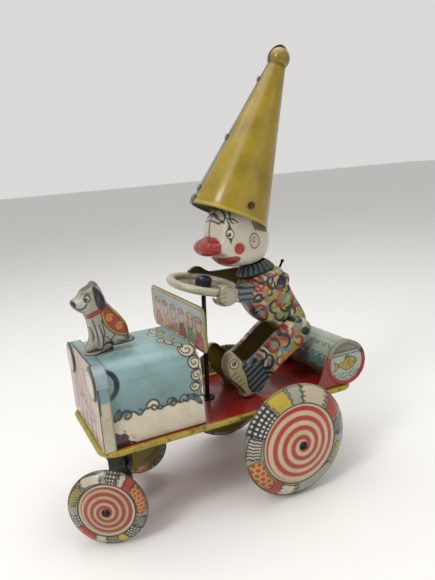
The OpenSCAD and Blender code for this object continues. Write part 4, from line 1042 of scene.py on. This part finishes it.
def suit(ink, seed=0):
    """red and black rings over small bright patches"""
    pal = [rgb(h) for h in ("8d9c52", "c8b23e", "b7b6a2", "86a09c", "d0ac3a", "6f8894", "c47b3a", "cfc6a8")]
    ink.c[:] = pal[0]
    for k in range(1, 8):
        a = 0.9 * k + seed
        b = a + 1.3
        q = (np.sin(ink.u * 0.7 * math.cos(a) + ink.v * 0.7 * math.sin(a) + 2 * k)
             + np.sin(ink.v * 0.66 * math.cos(b) - ink.u * 0.66 * math.sin(b) + a))
        ink.fill(1.0 - q, pal[k], 0.25)
    for x, y, r, a, sweep, red in RINGS:
        x += 2.7 * seed
        th = (np.arctan2(ink.v - y, ink.u - x) - a) % (2 * PI)
        d = np.abs(np.hypot(ink.u - x, ink.v - y) - r) - 0.9 * np.clip(1.15 - np.abs(th / sweep - 0.5), 0.4, 1)
        ink.fill(np.where(th < sweep, d, 9), "a3301f" if red else "15151a", 0.2)
    return ink


def cuff(ink, d, a, pitch=3.2):
    """grey-blue pleats with black between them; a runs across the limb"""
    ink.fill(d, "5f7378", 0.2)
    w = a % pitch - pitch / 2
    ink.fill(np.where(d < 0, np.abs(w) - 0.62, 9), "101316", 0.2)
    ink.fill(np.where(d < -0.3, np.abs(np.abs(w) - 1.25) - 0.12, 9), "87999a", 0.2, 0.7)
    ink.line(d, 0.7)


TORSO = smooth([(24.4, 119.8), (22.8, 113), (23.4, 106), (27.6, 98), (33, 92.4), (40, 89.6), (46, 83.5), (52, 79.8),
                (57.4, 79), (62.2, 82.8), (64.2, 89.4), (62.0, 96.4), (56.4, 106), (53.0, 113.2), (50.6, 119.2),
                (48.2, 123.9), (44, 123.3), (38, 122.5), (31, 121.2)])
for side, nm in SIDES:
    pressed("torso_shell_" + nm, TORSO, 0.05, 8.9, lambda y, z, x, side=side: suit(Ink(y, z, CREAM), side).seam(x),
            "driver_body", "suit", [SUIT, INSIDE], "torso_" + nm, side, 0.42)

LEG = smooth([(55.0, 92.9), (59.6, 90.8), (62.2, 86.6), (61.6, 81.6), (58.2, 77.6), (46, 70.4), (35.0, 63.3),
              (28.6, 58.2), (24.8, 53.6), (20, 52.6), (15.6, 51.9), (12.2, 51.9), (10.8, 56.6), (7.0, 61.4),
              (3.6, 66.2), (2.3, 71.2), (2.6, 76.4), (5.2, 80.4), (8.6, 80.4), (11.4, 77.4), (13.8, 74.8),
              (18, 72.6), (24.7, 75.9), (35, 83.4), (44.9, 90.2), (50.4, 92.8)])
SHOE = [(12.0, 51.0), (9.0, 58), (1, 64), (0.5, 77), (4, 82), (10, 82), (12.8, 76), (12.2, 71.4), (14.4, 66),
        (15.2, 59), (17.4, 55.0), (26, 54.6), (26, 50.5)]
CUFF = [(12.6, 76.8), (20.6, 75.6), (25.6, 70), (29.2, 61.0), (27.0, 54), (16.4, 54.4), (14.8, 60), (14.2, 66),
        (12.0, 71.4)]


def leg_paint(side):
    def paint(y, z, x):
        ink = suit(Ink(y, z, CREAM), 2 + side)
        cuff(ink, area(y, z, CUFF), 0.84 * z - 0.545 * y)
        d = area(y, z, SHOE)
        ink.fill(d, "c4bd97", 0.25).line(d, 0.65)
        # sole and toe lines, laces, and a pompon
        ink.line(path(y, z, [(3.2, 66.4), (9.6, 60.4), (12.6, 55.6)]) - 0.2, 0.5)
        for k in range(4):
            ink.stroke([(5.2 + k * 1.5, 67.6 - k * 2.3), (8.0 + k * 1.6, 69.6 - k * 2.6)], 0.5)
        c = disc(y, z, 7.0, 74.6, 2.7)
        ink.fill(c, WHITE).line(c, 0.6)
        ink.fill(disc(y, z, 7.2, 74.8, 1.3), "a5402c", 0.3)
        ink.stroke(curl(7.0, 74.6, 2.0, 1.4, 0.4), 0.4)
        return ink.seam(x)
    return paint


lx0 = span("leg_left")[0].x
for side, nm in SIDES:
    pressed("leg_shell_" + nm, LEG, lx0, 6.9, leg_paint(side), "chassis", "suit", [SUIT, INSIDE], "leg_" + nm,
            side, 0.38)

SLEEVE = smooth([(42.6, 123.2), (45.2, 121.0), (45.6, 117.4), (43.2, 113.6), (38, 112), (28, 110.8), (19, 109.9),
                 (12, 109.8), (8.4, 110.9), (5.4, 111.2), (2.2, 110.2), (-1.6, 110.6), (-4.6, 113.0), (-5.6, 116.4),
                 (-4.4, 120.0), (-1.4, 122.2), (2.2, 122.1), (5.0, 120.6), (8.4, 119.5), (12, 119.9), (18, 120.9),
                 (27, 122.6), (36, 124.1)], step=0.9)


def arm_paint(side):
    def paint(y, z, x):
        ink = suit(Ink(y, z, CREAM), 5 + side)
        band = [(7.6, 108), (17.6, 108), (18.6, 112), (16.8, 115), (18.8, 118), (17.4, 123), (8.6, 123), (6.8, 115)]
        cuff(ink, area(y, z, band), z + 0.12 * y, 3.3)
        d = y - 7.4 - 0.4 * np.sin(z * 0.8)
        ink.fill(d, "b9b39d", 0.25).line(d, 0.6)
        ink.line(disc(y, z, 0.4, 116.2, 5.2), 0.35, "77725f")
        for k in range(3):
            ink.stroke([(-4.6 + 0.5 * k, 113.4 + k * 2.6), (-1.4 + 0.4 * k, 113.9 + k * 2.4)], 0.45, "55503f")
        return ink.seam(x, 0.5)
    return paint


# the steering wheel's rim: its middle, its tilt, its radius and the radius of its section
RING_C, RING_R, RING_T = np.array((0.0, -1.1, 120.5)), 18.8, 2.6
TILT = np.array(rot(-12.5, "X") @ rot(5.6, "Y"))
ring_n = TILT[:, 2]


def near_ring(P, clear=0.9):
    """where the rim passes through the hands"""
    d = P - RING_C
    h = d @ ring_n
    r = np.linalg.norm(d - h[:, None] * ring_n, axis=1)
    return np.hypot(r - RING_R, h) < RING_T + clear


def arm_place(raised):
    """turned about the shoulder"""
    M = np.array(rot(raised, "X") @ rot(8.3, "Z"))
    _, sy, sz = joint("left_arm_swing")["pos_m"]
    shoulder = np.array([0, sy * 1000, sz * 1000])
    return lambda P: (P - shoulder) @ M.T + shoulder


for (side, nm), raised in zip(SIDES, (0, -9)):
    pressed("arm_shell_" + nm, SLEEVE, 10.1, 6.95, arm_paint(side), nm + "_arm", "suit", [SUIT, INSIDE], "arm_" + nm,
            side, 0.34, arm_place(raised), cut=near_ring)

# ------------------------------------------------------------------ ruff

PLEATS = 19
th = np.linspace(0, 2 * PI, PLEATS * 14, endpoint=False)
T, A = np.meshgrid(np.linspace(0, 1, 14), th, indexing="ij")
wave = np.cos(PLEATS * A)
r = 7.9 + (12.3 - 7.9) * T + 0.5 * wave * T
h = 6.6 - 6.0 * T ** 1.25 + 0.55 * wave * (0.25 + 0.75 * T)
P = np.stack([r * np.cos(A) * 0.76, r * np.sin(A), h], 2) @ np.array(rot(10, "X")).T + np.array([0, 33.5, 122.15])
ink = Ink(A.ravel(), T.ravel(), "34464c")
# painted highlight on the outer folds of the pleats, painted shade in the inner folds
ink.fill(0.1 - wave.ravel() * 0.8, "53686d", 0.5)
ink.fill(np.abs(((ink.u * PLEATS / (2 * PI)) % 1) - 0.5) * 3.2 - 0.42, "0c1113", 0.25)
ink.fill(0.93 - ink.v, "16191b", 0.05)
closed("ruff_pleats", P, ink.c.reshape(P.shape), "driver_body", "ruff_teal", SHEET, 0.35, "ruff_collar")

# ------------------------------------------------------------------ head, with a plain clown face of its own

HEAD = smooth([(9.5, 160.5), (6.6, 155), (5.4, 150), (5.0, 146.6), (2.2, 146.2), (-0.8, 144.6), (-2.6, 141.9),
               (-2.5, 139.0), (-0.5, 136.9), (2.6, 136.3), (5.6, 136.8), (7.4, 135.2), (8.4, 132.6), (10.6, 130.2),
               (14.4, 128.7), (20, 128.2), (28, 128.6), (34.5, 131.0), (38.6, 136.2), (39.6, 143.5), (38.4, 151),
               (34.6, 158.5), (29, 162.8), (21, 164), (14, 163.4)], step=0.9)


def face_paint(y, z, x):
    ink = Ink(y, z, "dcd6c6")
    # painted shade: the face darkens towards its underside, above the ruff
    ink.c = ink.c * (1 - 0.10 * ss(z - 133, 4)[:, None])
    # hair tuft under the brim
    for k in range(6):
        ink.stroke([(27.0 + k * 1.5, 160 - k * 0.4), (25.8 + k * 1.6, 153.4 - 0.5 * k),
                    (27.4 + k * 1.5, 149.6 - 0.4 * k)], 1.0, "2b2420")
    ear = oval(y, z, 26.2, 143.4, 3.0, 4.2)
    ink.fill(ear, "d8c7b4").line(ear, 0.5, "5a3e34")
    ink.stroke(curl(26.2, 143.4, 2.0, 0.8, 1.0), 0.5, "8a4a3c")
    # nose and cheek
    ink.fill(np.where(z < 147, y - 6.0, 9), "a5261c", 0.5)
    ink.fill(oval(y, z, 4.6, 137.6, 4.5, 0.7, -0.2), "6d1a16", 0.6, 0.6)
    for k in range(4):
        ink.stroke([(7.0 + k * 2.2, 162.0), (6.2 + k * 2.0, 157.6 - 0.5 * k), (7.6 + k * 2.0, 154.6)], 0.8, "2b2823")
    ink.fill(x - 0.5, "2a211c", 0.3, 0.7)
    cheek = disc(y, z, 16.4, 140.2, 3.3)
    ink.fill(cheek, "b4372a", 0.3)
    # eye with a diamond above and below
    ink.shape([(11.4, 154.4), (13.2, 149.2), (11.4, 143.6), (9.6, 149.2)], "2f5f6c", 0.4)
    e = oval(y, z, 11.4, 148.9, 2.2, 2.6)
    ink.fill(e, WHITE).line(e, 0.6)
    ink.fill(disc(y, z, 10.8, 148.6, 1.15), INK)
    ink.fill(disc(y, z, 10.4, 149.1, 0.35), WHITE, 0.1)
    ink.stroke([(8.2, 155.2), (10.8, 157.2), (14.2, 156.8), (16.4, 154.8)], 0.8)
    # calm mouth
    lips = oval(y, z, 11.2, 133.6, 5.2, 2.3, 0.18)
    ink.fill(lips, "b03226", 0.25).line(lips, 0.4)
    ink.stroke([(7.4, 133.0), (11.2, 132.8), (14.9, 134.6)], 0.7, "2a1212")
    return ink.c


for side, nm in SIDES:
    pressed("head_shell_" + nm, HEAD, 0.05, 14.6, face_paint, "driver_head", "face_white", [FACE, INSIDE],
            "head_" + nm, side, 0.85)

# ------------------------------------------------------------------ hat

# the hat leans back from its foot; its radius at the foot and at the tip, and its length
HAT_LEAN, HAT_FOOT = np.array(rot(-25, "X")), np.array([0, 18.1, 157.7])
HAT_R0, HAT_R1, HAT_L = 23.4, 5.2, 89.8


def hat_half(side, nm, grow):
    """one half of the cone with its half of the ball, which is bigger by grow"""
    hr, ht, hl = HAT_R0, HAT_R1, HAT_L
    k = int(hl / (FINE * 1.6))
    hs = np.linspace(0.2, hl, k)
    prof = np.stack([hr + (ht - hr) * hs / hl + 0.35 * np.exp(-hs / 1.1), hs], 1)
    bead = arc(hr - 0.75, 0.55, 0.75, -PI * 0.95, 0.35, 9)
    ang = np.linspace(-0.95, PI / 2 - 0.02, 20)
    fr = 6.3 + grow
    tip = 1 + (0.22 if side < 0 else 0.0) * np.clip(np.sin(ang) - 0.3, 0, 1) / 0.7
    ball = np.stack([fr * np.cos(ang), hl + 3.8 + fr * np.sin(ang) * tip], 1)
    ball = ball[ball[:, 0] > 0.02]
    full = np.vstack([bead, prof, ball])
    n = int(PI * hr / FINE / 1.3)
    th = np.linspace(-PI / 2 + 0.004, PI / 2 - 0.004, n)
    R_, H_ = full[:, 0][:, None], full[:, 1][:, None]
    gap = 0.06
    P = np.stack([side * (np.maximum(R_ * np.cos(th), 0) + gap), R_ * np.sin(th), H_ + 0 * th], 2)
    f0, t0 = np.repeat(full[:, 1], n), np.tile(th, len(full))
    r0 = np.repeat(full[:, 0], n)
    ink = Ink(t0 * r0, f0, "a58c08" if side > 0 else "6d7f88")
    if side > 0:
        ink.fill(np.abs(ink.v - 0.6) - 0.9, "c4b340", 0.6)
        ink.c[f0 > hl + 1.5] = rgb("a08a2c")
        ink.fill(np.abs(ink.v - hl + 1.0) - 0.5, "4a3a14", 0.4, 0.7)
    else:
        ink.c[f0 > hl + 1.5] = rgb("6d7c84")
    edge = (PI / 2 - np.abs(t0)) * r0
    ink.fill(edge - 0.55, "3d3a2a" if side > 0 else "2c3438", 0.35, 0.75)
    v, f, c = grid(P @ HAT_LEAN.T + HAT_FOOT, ink.c.reshape(P.shape))
    me = mesh_from("hat_shell_" + nm, v, facing(v, f, (side, 0, 0)), c)
    slot = "hat_yellow" if side > 0 else "hat_blue"
    piece("hat_shell_" + nm, me, "driver_head", slot, [HAT, INSIDE], 0.45, "hat_" + nm)


def hat_tab(k, L, r):
    """folded lug that holds the two halves of the hat together"""
    rad = HAT_R0 + (HAT_R1 - HAT_R0) * L / HAT_L
    a = np.linspace(-1.5, 1.5, 9)
    prof = np.stack([r * np.cos(a) * 0.8, r * np.sin(a) * np.where(a > 0, 1.0, 0.6)], 1)
    P, C = revolve(prof, 14, lambda q, t, i: np.tile(rgb("70747f"), (len(q), 1)))
    P = P * np.array([0.8, 0.8, 1.5]) + np.array([-1.0, -rad - 0.3, L])
    closed("hat_tab_%d" % k, P @ HAT_LEAN.T + HAT_FOOT, C, "driver_head", "hat_blue", [LITHO])


for k, (L, r) in enumerate(((1.6, 2.2), (8.5, 1.7), (40.5, 1.7), (78.0, 1.5))):
    hat_tab(k, L, r)
for (side, nm), grow in zip(SIDES, (0.0, 0.35)):
    hat_half(side, nm, grow)

# ------------------------------------------------------------------ steering wheel

TH, PH = np.meshgrid(*[np.linspace(0, 2 * PI, n, endpoint=False) for n in (220, 20)], indexing="ij")
rt = RING_T - 0.12 + 0.1 * np.cos(TH * 64) * np.abs(np.sin(PH))
across = RING_R + rt * np.cos(PH)
P = np.stack([across * np.cos(TH), across * np.sin(TH), rt * np.sin(PH) * 0.93], 2)
ink = Ink(TH.ravel() * RING_R, PH.ravel(), "bdb79f")
spot = disc((ink.u * 0.55) % 1 - 0.5, ((ink.v * 1.3) % 1) - 0.5, 0, 0, 0.2)
ink.fill(np.where(np.abs(np.sin(ink.v)) < 0.5, spot, 9), "57523f", 0.2, 0.55)
closed("steering_rim", P @ TILT.T + RING_C, ink.c.reshape(P.shape), "column", "litho_cream", [LITHO],
       node="steering_wheel", wrap_u=True)


def dish_art(r, th, i):
    x, y = r * np.cos(th), r * np.sin(th)
    ink = Ink(x, y, "b5b09a")
    for k in range(14):
        a = k * 2 * PI / 14 + 0.2
        ink.stroke([(q * math.cos(b), q * math.sin(b)) for q, b in ((8.6, a), (10.6, a + 0.12), (13.2, a + 0.02))],
                   0.6 + 0.35 * (k % 3), "3f4340")
    ink.line(r - 15.3, 0.5, "8a866f")
    ink.line(r - 6.6, 0.5, "6b6a58")
    ink.fill(oval(x, y, -11, -4, 3.0, 1.6, 0.6), "8b8a78", 0.8, 0.5)
    return ink.c


q = np.linspace(1.35, 16.9, int(15.5 / FINE))
h = -2.3 + 1.5 * np.clip((q - 7) / 10, 0, 1) ** 1.6 + 0.35 * np.exp(-((q - 6.5) / 0.8) ** 2)
P, C = revolve(np.stack([q, h], 1), 200, dish_art)
closed("steering_dish", P @ TILT.T + RING_C, C, "column", "litho_cream", [LITHO, LITHO], 0.4)
a = np.linspace(0, PI / 2, 12)
dome = np.vstack([[[4.75, -0.9], [4.8, 0.4], [4.6, 3.0]],
                  np.stack([np.maximum(4.6 * np.cos(a), 0.02), 3.2 + 2.6 * np.sin(a)], 1)])
P, C = revolve(dome, 56, lambda r, t, i: np.tile(rgb("1c2638"), (len(r), 1)))
closed("hub_dome", P @ TILT.T + RING_C, C, "column", "hub_navy", [NAVY], 0.3, "steering_hub")

# ------------------------------------------------------------------ CAD nodes that keep their own mesh

KEEP = {"chassis_tray": deck_material(),
        "dog_stand": tin("stand_sheet", rgb("cdb9a6"), gloss=0.35, age=0.4, chips=0.6),
        "joint_rivets": metal("rivet_steel", rgb("4a5058"), rgb("1d1e22"), (0.3, 0.5), 0.9, rust=0.4),
        "hat_tie": metal("tie_rust", rgb("5a4a3c"), rgb("2c1d15"), (0.45, 0.7), 0.6, rust=0.8),
        "front_yoke": metal("yoke_zinc", rgb("7b7d7c"), rgb("474744"), (0.35, 0.6), 0.9, rust=0.25)}
for mat, nodes in (
        (BLACKEN, "steering_column front_axle rear_axle lower_pinion neck_wire neck_post tube_clip column_eyelet"),
        (SPRING, "mainspring click"),
        (BRASS, "great_wheel crown_wheel train_pinion upper_pinion deck_bush hood_bush crown_bush motor_pillars")):
    KEEP.update((n, mat) for n in nodes.split())
gone = set(n for o in bpy.data.objects for n in list(o.get("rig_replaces", [])))
for n, ob in frame["nodes"].items():
    if n in gone:
        continue
    ob.data.materials.clear()
    ob.data.materials.append(KEEP.get(n, STEEL))

# ------------------------------------------------------------------ floor, light, camera

def floor():
    m, t, b = new_mat("floor_paper")
    co = coords(t)
    n = noise(t, co, 40, 3)
    t.links.new(mix(t, ramp(t, n, 0.3, 0.7, 0.0, 0.05), rgb("f3f2ef"), rgb("e2e0dc")), b.inputs["Base Color"])
    b.inputs["Roughness"].default_value = 0.6
    half = 6
    me = bpy.data.meshes.new("floor")
    me.from_pydata([(x * half, y * half, 0) for x, y in ((-1, -1), (1, -1), (1, 1), (-1, 1))], [], [(0, 1, 2, 3)])
    me.materials.append(m)
    ob = bpy.data.objects.new("floor", me)
    bpy.context.scene.collection.objects.link(ob)


floor()
# the studio is brighter on the side that the camera looks at
world = bpy.data.worlds.new("studio")
bpy.context.scene.world = world
world.use_nodes = True
wt = world.node_tree
bg = wt.nodes["Background"]
dot = wt.nodes.new("ShaderNodeVectorMath")
dot.operation = "DOT_PRODUCT"
dot.inputs[1].default_value = (-0.907, 0.421, 0.0)
wt.links.new(wt.nodes.new("ShaderNodeTexCoord").outputs["Generated"], dot.inputs[0])
wt.links.new(ramp(wt, dot.outputs["Value"], -0.5, 0.75, 0.42, 0.76), bg.inputs[1])
bg.inputs[0].default_value = (0.925, 0.915, 0.90, 1)


def lamp(name, at, to, size, power, colour=(1, 1, 1)):
    d = bpy.data.lights.new(name, "AREA")
    d.shape = "RECTANGLE"
    d.size, d.size_y = size
    d.energy = power
    d.color = colour
    o = bpy.data.objects.new(name, d)
    bpy.context.scene.collection.objects.link(o)
    o.location = at
    o.rotation_euler = (Vector(to) - Vector(at)).to_track_quat("-Z", "Y").to_euler()


AIM = (0, 0, 0.08)
lamp("key", (0.30, -0.60, 0.70), AIM, (0.22, 0.45), 3.2, (1.0, 0.985, 0.96))
lamp("fill", (0.7, 0.35, 0.45), AIM, (0.7, 0.5), 0.7, (0.96, 0.98, 1.0))
lamp("top", (-0.05, 0.0, 0.85), AIM, (0.8, 0.8), 3.6)

# the camera solved from the photograph: place in m, angles in degrees, focal length and height in pixels
CAM_AT, CAM_AZ, CAM_PITCH, CAM_ROLL = (0.2897, -0.1268, 0.1872), 65.1, 12.64, -4.59
CAM_FOCAL, PHOTO_H, SENSOR = 561.8, 580, 36.0
cam_d = bpy.data.cameras.new("camera")
cam = bpy.data.objects.new("camera", cam_d)
bpy.context.scene.collection.objects.link(cam)
az, pt, rl = [math.radians(a) for a in (CAM_AZ, CAM_PITCH, CAM_ROLL)]
ahead = Vector((-math.sin(az) * math.cos(pt), math.cos(az) * math.cos(pt), -math.sin(pt)))
level = Vector((math.cos(az), math.sin(az), 0))
up = level.cross(ahead)
x_axis, y_axis = level * math.cos(rl) + up * math.sin(rl), up * math.cos(rl) - level * math.sin(rl)
cam.matrix_world = Matrix.Translation(CAM_AT) @ Matrix((x_axis, y_axis, -ahead)).transposed().to_4x4()
cam_d.sensor_width = SENSOR
cam_d.lens = SENSOR * CAM_FOCAL / PHOTO_H
cam_d.clip_start = 0.01
bpy.context.scene.camera = cam
bpy.context.scene.view_settings.view_transform = "Standard"
